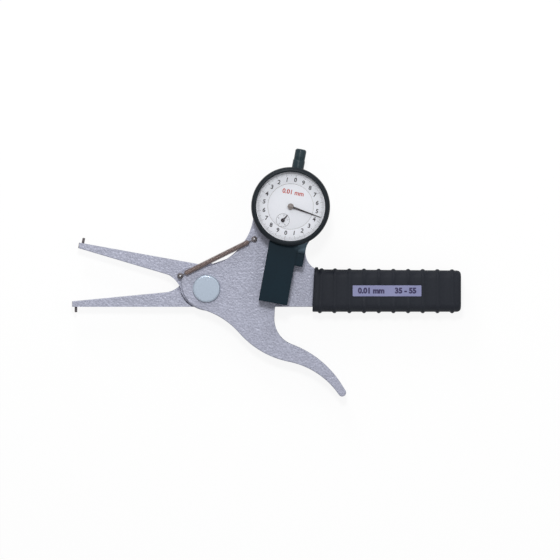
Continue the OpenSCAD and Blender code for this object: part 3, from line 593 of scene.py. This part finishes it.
bezelLook = {"skirt": 27.04, "skirtTop": 30.1, "opening": 25.7, "seat": 26.4, "shelf": 25.3, "shelfTop": 30.4,
             "footIn": 0.7, "footHigh": 0.8, "footRound": 0.3, "topDrop": 2.0, "topIn": 1.5, "sideRound": 1.1,
             "topRound": 0.8, "innerEdge": 0.5, "lipRound": 0.2, "boreRound": 0.15}
windowShape = {"edge": 0.5, "dome": ((0.986, 0.02), (0.8, 0.12), (0.55, 0.2), (0.28, 0.25)), "top": 0.26}
dialShape = {"inner": 16.92, "outer": 17.08, "round": 0.06}
caseLook = {"radius": 27.0, "bore": 24.8, "floor": 2.2, "footRound": 0.6, "rimRound": 0.2, "floorRound": 0.4}


def makeBezel():
    look = bezelLook
    r, z0, z1 = sizeOf("bezel")
    glassTop = sizeOf("crystal")[2]
    skirt, skirtTop, shelf, shelfTop = look["skirt"], look["skirtTop"], look["shelf"], look["shelfTop"]
    opening, seat, inner, footRound = look["opening"], look["seat"], look["innerEdge"], look["footRound"]
    bezel = turnedShape([
        (skirt, z0, 0), (r - look["footIn"], z0, footRound), (r, z0 + look["footHigh"], footRound),
        (r, z1 - look["topDrop"], look["sideRound"]), (r - look["topIn"], z1, look["topRound"]),
        (opening + inner, z1, look["lipRound"]), (opening, z1 - inner, look["boreRound"]),
        (opening, glassTop, 0), (seat, glassTop, 0), (seat, shelfTop, 0), (shelf, shelfTop, 0),
        (shelf, skirtTop, 0), (skirt, skirtTop, 0)], steps=160, centre=dialCentre)
    finishPiece("bezel_ring", bezel, "bezel_body", blackSatin, ["bezel"])


def makeWindow():
    r, z0, z1 = sizeOf("crystal")
    profile = [(0, z0, 0), (r, z0, 0), (r, z1 - windowShape["edge"], 0)]
    profile += [(r * share, z1 + rise, 0) for share, rise in windowShape["dome"]]
    profile.append((0, z1 + windowShape["top"], 0))
    window = turnedShape(profile, steps=128, centre=dialCentre)
    finishPiece("window", window, "bezel_body", windowAcrylic, ["crystal"])


def makeDials():
    inner, outer, edge = dialShape["inner"], dialShape["outer"], dialShape["round"]
    z0, z1 = sizeOf("inner_dial")[1:]
    rim = sizeOf("scale_ring")[0]
    profile = [(0, z0, 0), (inner, z0, 0), (inner, z1, edge), (0, z1, 0)]
    disc = turnedShape(profile, steps=128, centre=dialCentre)
    finishPiece("dial_disc", disc, "frame", dialWhite, ["inner_dial"])
    profile = [(outer, z0, 0), (rim, z0, 0), (rim, z1, 0), (outer, z1, edge)]
    ring = turnedShape(profile, steps=128, centre=dialCentre)
    finishPiece("dial_ring", ring, "bezel_body", dialWhite, ["scale_ring"])


def makeCase():
    look = caseLook
    r, bore = look["radius"], look["bore"]
    z0, z1 = sizeOf("dial_case")[1:]
    floor = z0 + look["floor"]
    case = turnedShape([(0, z0, 0), (r, z0, look["footRound"]), (r, z1, look["rimRound"]), (bore, z1, 0),
                        (bore, floor, look["floorRound"]), (0, floor, 0)], steps=128, centre=dialCentre)
    finishPiece("gauge_case", case, "frame", blackSatin, ["dial_case"])


# stem over the gauge and the cap on it, in distances from the dial's centre
stemLook = {"radius": 4.5, "start": 24.8, "end": 35.6, "bore": 2.3, "neck": 0.35, "shoulder": 0.6,
            "shoulderRound": 0.2, "endRound": 0.15}
spindleCapLook = {"radius": 4.15, "end": 43.8, "bore": 2.8, "roof": 1.2, "edge": 1.0, "edgeRound": 0.3,
                  "footIn": 0.15, "footHigh": 0.2, "footRound": 0.05, "grooves": (36.6, 37.4),
                  "grooveHalf": 0.14, "grooveDeep": 0.16}


def makeStem():
    look, cap = stemLook, spindleCapLook
    low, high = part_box("spindle_cap")
    height = (low.z + high.z) / 2
    r, bore, start, end = look["radius"], look["bore"], look["start"], look["end"]
    stem = turnedShape([(bore, start, 0), (r, start, 0), (r, end - look["shoulder"], look["shoulderRound"]),
                        (r - look["neck"], end, look["endRound"]), (bore, end, 0)], steps=64)
    alongGauge(stem, height)
    finishPiece("stem_tube", stem, "frame", stemBlack, ["upper_stem"])
    r, bore, top, edge = cap["radius"], cap["bore"], cap["end"], cap["edge"]
    roof, half = top - cap["roof"], cap["grooveHalf"]
    profile = [(bore, end, 0), (r - cap["footIn"], end, 0), (r, end + cap["footHigh"], cap["footRound"])]
    for groove in cap["grooves"]:
        profile += [(r, groove - half, 0), (r - cap["grooveDeep"], groove, 0), (r, groove + half, 0)]
    profile += [(r, top - edge, cap["edgeRound"]), (r - edge, top, cap["edgeRound"]), (0, top, 0),
                (0, roof, 0), (bore, roof, 0)]
    capShape = turnedShape(profile, steps=64)
    alongGauge(capShape, height)
    finishPiece("stem_cap", capShape, "frame", stemBlack, ["spindle_cap"])


guardShape = {"round": 0.7 * mm, "clearOfBezel": 30.2 * mm, "footHeight": 1 * mm}


def makeGuard():
    bm = solidCopy("spindle_guard")
    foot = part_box("spindle_guard")[0].z + guardShape["footHeight"]

    def showing(edge):
        above = all(v.co.z > foot for v in edge.verts)
        return above and min(reach(edge, dialCentre)) > guardShape["clearOfBezel"]

    roundEdges(bm, guardShape["round"], showing)
    finishPiece("guard_shell", bm, "frame", guardBlack, ["spindle_guard"], keepFlat=True)


# the cover behind the gauge, and the screws that show at the back
def makeBackPieces():
    cover = solidCopy("rear_cover")
    finishPiece("back_cover", cover, "frame", hammerPaint, ["rear_cover"], keepFlat=True)
    for name in ("rear_cover_screws", "fixed_jaw_screws", "guard_screws"):
        piece = name.replace("screws", "fasteners")
        finishPiece(piece, solidCopy(name), "frame", postSteel, [name])


makeBezel()
makeWindow()
makeDials()
makeCase()
makeStem()
makeGuard()
makeBackPieces()
print("gauge turned")


# dial print: thin raised ink, the turning scale on the bezel and the rest on the frame

printLook = {"thick": 0.03 * mm, "numeral": 4.3 * mm, "numeralReach": 20.0 * mm, "numeralBold": 0.13 * mm,
             "numerals": 20, "outer": 25.1 * mm, "divisions": 200, "midEvery": 5, "longEvery": 10,
             "tickLengths": (1.9 * mm, 2.4 * mm, 2.9 * mm), "tickWidths": (0.09 * mm, 0.12 * mm, 0.17 * mm),
             "word": "0.01 mm", "wordSize": 4.6 * mm, "wordUp": 10.6 * mm}
counterPrint = {"radius": 5.0 * mm, "divisions": 20, "line": 0.16 * mm, "tickLengths": (0.9 * mm, 0.5 * mm),
                "numeral": 1.5 * mm, "numeralReach": 3.5 * mm, "numeralBold": 0.0, "numerals": 5}
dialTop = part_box("inner_dial")[1].z
inkMiddle = dialTop + printLook["thick"] / 2


def printedWords(words, size, bold):
    curve = bpy.data.curves.new("words", "FONT")
    curve.body = words
    curve.size = size
    curve.offset = bold
    curve.extrude = printLook["thick"] / 2
    curve.align_x = "CENTER"
    curve.align_y = "CENTER"
    curve.resolution_u = 3
    return curveShape(curve, meshing["sliver"])


# a straight printed line, its middle at a distance from a centre
def printedBar(bm, centre, turn, distance, width, length):
    matrix = (Matrix.Translation((centre.x, centre.y, inkMiddle))
              @ Matrix.Rotation(turn, 4, "Z") @ Matrix.Translation((0, distance, 0))
              @ Matrix.Diagonal((width, length, printLook["thick"], 1)))
    bmesh.ops.create_cube(bm, size=1.0, matrix=matrix)


def printedRing(bm, centre, radius, width):
    z0, z1 = dialTop / mm, (dialTop + printLook["thick"]) / mm
    r0, r1 = (radius - width / 2) / mm, (radius + width / 2) / mm
    profile = [(r0, z0, 0), (r1, z0, 0), (r1, z1, 0), (r0, z1, 0)]
    joinInto(bm, turnedShape(profile, steps=96, centre=centre))


def printedDigit(bm, digit, centre, turn, look):
    shape = printedWords(str(digit), look["numeral"], look["numeralBold"])
    spot = centre.xy + look["numeralReach"] * Vector((-math.sin(turn), math.cos(turn)))
    place(shape, -gaugeLean, (spot.x, spot.y, inkMiddle))
    joinInto(bm, shape)


def makeScalePrint():
    look = printLook
    bm = bmesh.new()
    for i in range(look["divisions"]):
        grade = 2 if i % look["longEvery"] == 0 else 1 if i % look["midEvery"] == 0 else 0
        length, width = look["tickLengths"][grade], look["tickWidths"][grade]
        turn = math.tau * i / look["divisions"] - gaugeLean
        printedBar(bm, dialCentre, turn, look["outer"] - length / 2, width, length)
    for i in range(look["numerals"]):  # 0 to 9 twice, anticlockwise, upright to the dial
        turn = math.tau * i / look["numerals"] - gaugeLean
        printedDigit(bm, i % 10, dialCentre, turn, look)
    finishPiece("scale_print", bm, "bezel_body", dialInk)


def makeInnerPrint():
    look, small = printLook, counterPrint
    bm = bmesh.new()
    printedRing(bm, counterCentre, small["radius"], small["line"])
    for i in range(small["divisions"]):
        length = small["tickLengths"][i % 2]
        turn = math.tau * i / small["divisions"] - gaugeLean
        printedBar(bm, counterCentre, turn, small["radius"] - length / 2, small["line"], length)
    for i in range(small["numerals"]):  # even numbers, clockwise
        turn = -math.tau * i / small["numerals"] - gaugeLean
        printedDigit(bm, 2 * i, counterCentre, turn, small)
    finishPiece("inner_print", bm, "frame", dialInk)
    word = printedWords(look["word"], look["wordSize"], look["numeralBold"])
    spot = dialCentre + look["wordUp"] * gaugeAxis
    place(word, -gaugeLean, (spot.x, spot.y, inkMiddle))
    finishPiece("unit_print", word, "frame", redInk)


makeScalePrint()
makeInnerPrint()
print("dial printed")


# pointers: a tapered dark blade on a hub, with a small domed cap

pointerLook = {"reach": 23.8, "root": 1.7, "tip": 0.46, "thick": 0.25, "hub": 2.3, "cap": 1.15,
               "angle": -110.0}
counterLook = {"reach": 5.3, "root": 1.3, "tip": 0.6, "thick": 0.25, "hub": 1.5, "cap": 0.6, "angle": -42.0}
hubShape = {"below": 0.05, "side": 0.15, "slope": 0.3, "round": 0.1, "rim": 0.1, "sink": 0.1, "play": 0.05,
            "capSide": 0.1, "capRound": 0.08, "domeShare": 0.6, "domeSide": 0.2, "domeTop": 0.24}


def makePointer(name, look, node, body, centre, hubFinish):
    form = hubShape
    low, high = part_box(node)
    root, tip, end = look["root"], look["tip"], look["reach"]
    bm = bmesh.new()
    corners = [(-root, 0), (root, 0), (tip, end), (-tip, end)]
    blade = bm.faces.new([bm.verts.new((x / 2 * mm, y * mm, low.z)) for x, y in corners])
    lifted = bmesh.ops.extrude_face_region(bm, geom=[blade])["geom"]
    raised = [g for g in lifted if isinstance(g, bmesh.types.BMVert)]
    bmesh.ops.translate(bm, verts=raised, vec=(0, 0, look["thick"] * mm))
    bmesh.ops.recalc_face_normals(bm, faces=bm.faces)
    place(bm, math.radians(look["angle"]), (centre.x, centre.y, 0))
    finishPiece(name + "_hand", bm, body, pointerBlack, [node])
    hub, cap, z1 = look["hub"], look["cap"], high.z / mm
    foot, sunk = low.z / mm - form["below"], z1 - form["sink"]
    ring = turnedShape([(0, foot, 0), (hub, foot, 0), (hub, z1 - form["side"], form["round"]),
                        (hub - form["slope"], z1, form["round"]), (cap + form["rim"], z1, 0), (cap, sunk, 0),
                        (0, sunk, 0)], steps=48, centre=centre)
    finishPiece(name + "_hub", ring, body, hubFinish)
    r = cap - form["play"]
    dome = turnedShape([(0, sunk, 0), (r, sunk, 0), (r, z1 + form["capSide"], form["capRound"]),
                        (cap * form["domeShare"], z1 + form["domeSide"], form["round"]),
                        (0, z1 + form["domeTop"], 0)], steps=48, centre=centre)
    finishPiece(name + "_hub_cap", dome, body, hubFinish)


makePointer("main", pointerLook, "main_pointer", "pointer_body", dialCentre, hubBrass)
makePointer("counter", counterLook, "counter_pointer", "counter_body", counterCentre, pointerBlack)
print("pointers set")


# return spring: one wire from loop to loop, its curls shared out between both ends

springLook = {"wire": 0.74, "coil": 3.36, "curls": 57, "pitch": 0.95, "perCurl": 14, "startTurn": 0.25,
              "loop": 1.6, "loopThick": 1.2, "hook": 2.05, "leads": ((0.5, 0.35), (1.2, 0.06)), "lap": 0.1,
              "earLoop": range(250, 30, -15), "armLoop": range(145, -80, -15), "sharpAngle": 60}
postSize = {"pin": 1.0, "collar": 2.2, "collarFoot": 0.4, "footRound": 0.1, "ledgeRound": 0.15,
            "groove": 0.75, "head": 0.72, "headHigh": 0.55, "headSink": 0.1, "neckRound": 0.05,
            "headRound": 0.35}


def loopPoints(look, middle, degrees):
    angles = [math.radians(a) for a in degrees]
    return [(middle + look["loop"] * math.cos(a), look["loop"] * math.sin(a), 0) for a in angles]


# points along the wire in millimetres, from the ear's post along X to the arm's post
def springPath(look, length):
    loop, curls, per = look["loop"], look["curls"], look["perCurl"]
    coilEnd = length - loop - look["hook"]
    coilStart = coilEnd - curls * look["pitch"]
    points = loopPoints(look, 0, look["earLoop"])
    points += [(loop + out, side, 0) for out, side in look["leads"]]
    for i in range(curls * per + 1):
        wide = look["coil"] / 2 * min(1, i / per, (curls * per - i) / per)
        angle = math.tau * (look["startTurn"] + i / per)
        points.append((coilStart + i * look["pitch"] / per, wide * math.cos(angle), wide * math.sin(angle)))
    points += [(length - loop - out, side, 0) for out, side in reversed(look["leads"])]
    points += loopPoints(look, length, look["armLoop"])
    return points, coilStart, coilEnd


def makeSpring():
    look = springLook
    low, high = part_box("jaw_spring_post")
    armPost = Vector(((low.x + high.x) / 2, (low.y + high.y) / 2, earPost.z))
    along = armPost - earPost
    points, coilStart, coilEnd = springPath(look, along.length / mm)
    curve = bpy.data.curves.new("springPath", "CURVE")
    curve.dimensions = "3D"
    curve.bevel_depth = look["wire"] / 2 * mm
    curve.bevel_resolution = 2
    curve.use_fill_caps = True
    path = curve.splines.new("POLY")
    path.points.add(len(points) - 1)
    for point, spot in zip(path.points, points):
        point.co = (*[part * mm for part in spot], 1)
        inCurls = coilStart - look["lap"] < spot[0] < coilEnd + look["lap"]
        point.radius = 1 if inCurls else look["loopThick"]
    bm = curveShape(curve, meshing["weld"])
    bmesh.ops.recalc_face_normals(bm, faces=bm.faces)
    for face in bm.faces:  # painted shade: the hooks, the same wire as the curls, take the darker pin steel
        if not coilStart < face.calc_center_median().x / mm < coilEnd:
            face.material_index = 1
    place(bm, math.atan2(along.y, along.x), earPost)
    shade(bm, look["sharpAngle"])
    spring = addObject("spring_wire", bm, springWire, pinSteel)
    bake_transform(spring)
    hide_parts("return_spring", "spring_hook")


def makePosts():
    look = postSize
    pin, wide, head = look["pin"], look["collar"], look["head"]
    wireZ, collar = earPost.z / mm, frontZ / mm + look["collarFoot"]
    ledge, top = wireZ - look["groove"], wireZ + look["groove"]
    sunk, tip = top - look["headSink"], top + look["headHigh"]
    earNames = ("frame_spring_post", "frame", "ear_post")
    armNames = ("jaw_spring_post", "lever", "arm_post")
    for node, body, name in (earNames, armNames):
        low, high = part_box(node)
        foot, middle = low.z / mm, (low + high) / 2
        profile = [(0, foot, 0), (pin, foot, 0), (pin, collar, 0), (wide, collar, look["footRound"]),
                   (wide, ledge, look["ledgeRound"]), (pin, ledge, 0), (pin, top, 0), (0, top, 0)]
        post = turnedShape(profile, steps=40, centre=middle)
        finishPiece(name, post, body, pinSteel, [node])
        profile = [(0, sunk, 0), (head - look["headSink"], sunk, 0), (head, top, look["neckRound"]),
                   (head, tip, look["headRound"]), (0, tip, 0)]
        knob = turnedShape(profile, steps=40, centre=middle)
        finishPiece(name + "_head", knob, body, postSteel)


makeSpring()
makePosts()
print("spring wound")


# grip: one rounded bar drawn along its length, swelling at each rib, flat under the plate

gripLook = {"width": 31.5, "depth": 17.8, "corner": 6.0, "slant": 1.7, "slantFade": 24.0, "taper": 0.9,
            "lip": 1.6, "lipLength": 3.0, "lipFall": 0.6, "lipEnd": 0.1, "lipFull": 0.3, "lipStart": 0.7,
            "ribFirst": 4.9, "ribPitch": 11.02, "ribCount": 10, "ribHigh": 1.1,
            "ribForm": ((-1.7, 0), (-1.2, 0.42), (-0.65, 0.9), (0, 1), (0.65, 0.9), (1.2, 0.42), (1.7, 0)),
            "nearRound": 0.5, "nearForm": ((0, 1), (0.15, 0.4), (0.5, 0)), "endRound": 3.0, "endSteps": 5,
            "flatRib": 0.35, "upperRib": 0.8, "upperFacing": 0.5, "firstShift": 0.5, "cornerSegments": 10}
plateLook = {"corner": 0.45, "edge": 0.12, "left": "0.01 mm", "right": "35 - 55", "letter": 5.6, "bold": 0.32,
             "leftAt": 0.27, "rightAt": 0.77, "pocket": 0.25, "pocketEdge": 0.5, "facing": 0.99, "play": 0.01}


def gripStations(look, length):
    stations = [(x, -look["nearRound"] * share) for x, share in look["nearForm"]]
    stations += [(look["lipLength"] - look["lipFall"], 0), (look["lipLength"], 0)]
    for k in range(look["ribCount"]):
        middle = look["ribFirst"] + k * look["ribPitch"] + (look["firstShift"] if k == 0 else 0)
        stations += [(middle + step, look["ribHigh"] * share) for step, share in look["ribForm"]]
    for step in range(look["endSteps"] + 1):
        angle = math.radians(90 * step / look["endSteps"])
        x = length - look["endRound"] * (1 - math.sin(angle))
        stations.append((x, -look["endRound"] * (1 - math.cos(angle))))
    return stations


def makeGrip():
    look, plate = gripLook, plateLook
    low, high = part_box("grip")
    plateLow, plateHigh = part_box("name_plate")
    nearX = low.x / mm + look["slant"] / 2
    length = high.x / mm - nearX
    midY = (low.y + look["ribHigh"] * mm) / mm + look["width"] / 2
    midZ = (low.z + high.z) / 2 / mm
    corner = look["corner"]
    halfW, halfD = look["width"] / 2, look["depth"] / 2
    insideY, insideZ = halfW - corner, halfD - corner
    pocketY = [plateLow.y / mm - midY - plate["pocket"], plateHigh.y / mm - midY + plate["pocket"]]
    pocketX = [plateLow.x / mm - nearX - plate["pocket"], plateHigh.x / mm - nearX + plate["pocket"]]
    bm = bmesh.new()
    front = [pocketY[1] + plate["pocketEdge"], pocketY[1], pocketY[0], pocketY[0] - plate["pocketEdge"]]
    outline = [(-halfW, -halfD), (halfW, -halfD), (halfW, halfD)]
    outline += [(y, halfD) for y in front] + [(-halfW, halfD)]
    spots = [bm.verts.new((0, y, z)) for y, z in outline]
    bm.faces.new(spots)
    bmesh.ops.bevel(bm, geom=[spots[0], spots[1], spots[2], spots[-1]], offset=corner, offset_type="OFFSET",
                    segments=look["cornerSegments"], profile=0.5, affect="VERTICES", material=-1)

    def settle(vert, x, swell):
        y, z = vert.co.y, vert.co.z
        inner = Vector((max(-insideY, min(insideY, y)), max(-insideZ, min(insideZ, z))))
        out = (Vector((y, z)) - inner).normalized()
        inWidth = pocketY[0] - plate["play"] < y < pocketY[1] + plate["play"]
        if inWidth and out.y > plate["facing"] and pocketX[0] < x < pocketX[1]:
            swell = min(swell, 0)  # flat under the plate
        if swell > 0:  # ribs are full height along the sides and shallow on the flats
            swell *= look["flatRib"] + (1 - look["flatRib"]) * abs(out.x)
            if out.x > look["upperFacing"]:
                swell *= look["upperRib"]
        if x < look["lipLength"] - look["lipEnd"]:
            swell += look["lip"] * max(0, out.x) * (1 if x > look["lipFull"] else look["lipStart"])
        spot = inner + out * (corner + swell)
        vert.co = (x, spot.x, spot.y)

    stations = gripStations(look, length)
    for vert in bm.verts:
        settle(vert, *stations[0])
    ring = bm.edges[:]
    for x, swell in stations[1:]:
        drawn = bmesh.ops.extrude_edge_only(bm, edges=ring)["geom"]
        verts = {g for g in drawn if isinstance(g, bmesh.types.BMVert)}
        ring = [g for g in drawn if isinstance(g, bmesh.types.BMEdge) and all(v in verts for v in g.verts)]
        for vert in verts:
            settle(vert, x, swell)
    bmesh.ops.edgeloop_fill(bm, edges=ring)
    bmesh.ops.recalc_face_normals(bm, faces=bm.faces)
    # the near end and the first ribs lean, and the upper side falls towards the far end
    for vert in bm.verts:
        x, y, z = vert.co
        lean = look["slant"] * (y / look["width"]) * max(0, 1 - x / look["slantFade"])
        fall = look["taper"] * (0.5 - x / length) * max(0, y / halfW)
        vert.co = ((nearX + x + lean) * mm, (midY + y + fall) * mm, (midZ + z) * mm)
    finishPiece("grip_sleeve", bm, "frame", gripRubber, ["grip"])


def makePlate():
    look = plateLook
    low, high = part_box("name_plate")
    middle, size = (low + high) / 2, high - low
    bm = bmesh.new()
    bmesh.ops.create_cube(bm, size=1.0, matrix=Matrix.Translation(middle) @ Matrix.Diagonal((*size, 1)))
    roundEdges(bm, look["corner"] * mm, lambda e: not level(e, low.z, high.z), segments=4)
    roundEdges(bm, look["edge"] * mm, lambda e: level(e, high.z), segments=2)
    finishPiece("face_plate", bm, "frame", plateFoil, ["name_plate"], keepFlat=True)
    ink = bmesh.new()
    for words, share in ((look["left"], look["leftAt"]), (look["right"], look["rightAt"])):
        shape = printedWords(words, look["letter"] * mm, look["bold"] * mm)
        place(shape, move=(low.x + share * size.x, middle.y, high.z + printLook["thick"] / 2))
        joinInto(ink, shape)
    finishPiece("plate_print", ink, "frame", plateInk)


makeGrip()
makePlate()
print("grip drawn")


# floor, light and camera

studio = {"viewSpan": 0.42, "viewCentre": (0.0551, 0.0064), "cameraHeight": 2.5, "sensor": 36.0,
          "clipEnd": 20, "floorSize": 6.0, "floorZ": -0.0002, "floorColour": (0.93, 0.93, 0.93, 1),
          "glow": 1.02, "glowShare": 0.86, "world": 0.44, "worldColour": (1, 1, 1, 1),
          "aim": (0.055, 0.01, 0.01)}
lamps = {"topSoftbox": {"spot": (0.02, 0.44, 1.12), "size": 0.2, "power": 5.7},
         "rimLight": {"spot": (-0.25, 1.0, 0.45), "size": 0.4, "power": 3.2},
         "sideFill": {"spot": (0.75, 0.1, 0.8), "size": 0.8, "power": 0.8}}


# rays that show the surroundings: from the camera, mirrored or through the window
def seenRays(tree):
    path = addNode(tree, "ShaderNodeLightPath")
    seen = mathNode(tree, "MAXIMUM", path.outputs["Is Camera Ray"], path.outputs["Is Glossy Ray"])
    return mathNode(tree, "MAXIMUM", seen, path.outputs["Is Transmission Ray"])


def floorFinish():
    material = bpy.data.materials.new("paleFloor")
    material.use_nodes = True
    tree = material.node_tree
    tree.nodes.clear()
    share = mathNode(tree, "MULTIPLY", seenRays(tree), studio["glowShare"])
    diffuse = addNode(tree, "ShaderNodeBsdfDiffuse")
    diffuse.inputs["Color"].default_value = studio["floorColour"]
    glow = addNode(tree, "ShaderNodeEmission")
    glow.inputs["Strength"].default_value = studio["glow"]
    out = addNode(tree, "ShaderNodeOutputMaterial")
    link(tree, mixShaders(tree, share, diffuse, glow), out.inputs["Surface"])
    return material


def makeStage():
    bm = bmesh.new()
    bmesh.ops.create_grid(bm, x_segments=1, y_segments=1, size=studio["floorSize"] / 2)
    floor = addObject("floor", bm, floorFinish())
    floor.location = (*studio["viewCentre"], studio["floorZ"])


def makeWorld():
    world = bpy.data.worlds.new("studioWorld")
    world.use_nodes = True
    tree = world.node_tree
    lift = mathNode(tree, "MULTIPLY", seenRays(tree), 1.0 - studio["world"])
    strength = mathNode(tree, "ADD", lift, studio["world"])
    feedAll(tree, tree.nodes["Background"], {"Strength": strength, "Color": studio["worldColour"]})
    bpy.context.scene.world = world


def makeLamp(name, look):
    lamp = bpy.data.lights.new(name, "AREA")
    lamp.shape = "DISK"
    lamp.size = look["size"]
    lamp.energy = look["power"]
    holder = bpy.data.objects.new(name, lamp)
    holder.location = look["spot"]
    holder.rotation_mode = "QUATERNION"
    holder.rotation_quaternion = (Vector(studio["aim"]) - Vector(look["spot"])).to_track_quat("-Z", "Y")
    bpy.context.scene.collection.objects.link(holder)


def makeCamera():
    data = bpy.data.cameras.new("camera")
    data.sensor_width = studio["sensor"]
    data.lens = studio["sensor"] * (studio["cameraHeight"] - frontZ) / studio["viewSpan"]
    data.clip_end = studio["clipEnd"]
    camera = bpy.data.objects.new("camera", data)
    camera.location = (*studio["viewCentre"], studio["cameraHeight"])
    bpy.context.scene.collection.objects.link(camera)
    bpy.context.scene.camera = camera


makeStage()
makeWorld()
for name, look in lamps.items():
    makeLamp(name, look)
makeCamera()
bpy.context.scene.view_settings.view_transform = "Standard"
print("studio set")

# solids that keep their shape, most of them inside, still get their finish
carried = (
    (pinSteel, ("moving_jaw_screws", "anvil_pin", "spindle", "contact_tip")),
    (blackSatin, ("lower_stem",)),
    (gaugeBrass, ("movement_lower_plate", "movement_upper_plate", "movement_pillars", "centre_pinion",
                  "counter_wheel")),
    (pivotBrass, ("lever_bush",)),
    (pivotSteel, ("pivot_washer",)),
    (springWire, ("spindle_spring",)),
)
for finish, names in carried:
    for name in names:
        nodes[name].data.materials.clear()
        nodes[name].data.materials.append(finish)
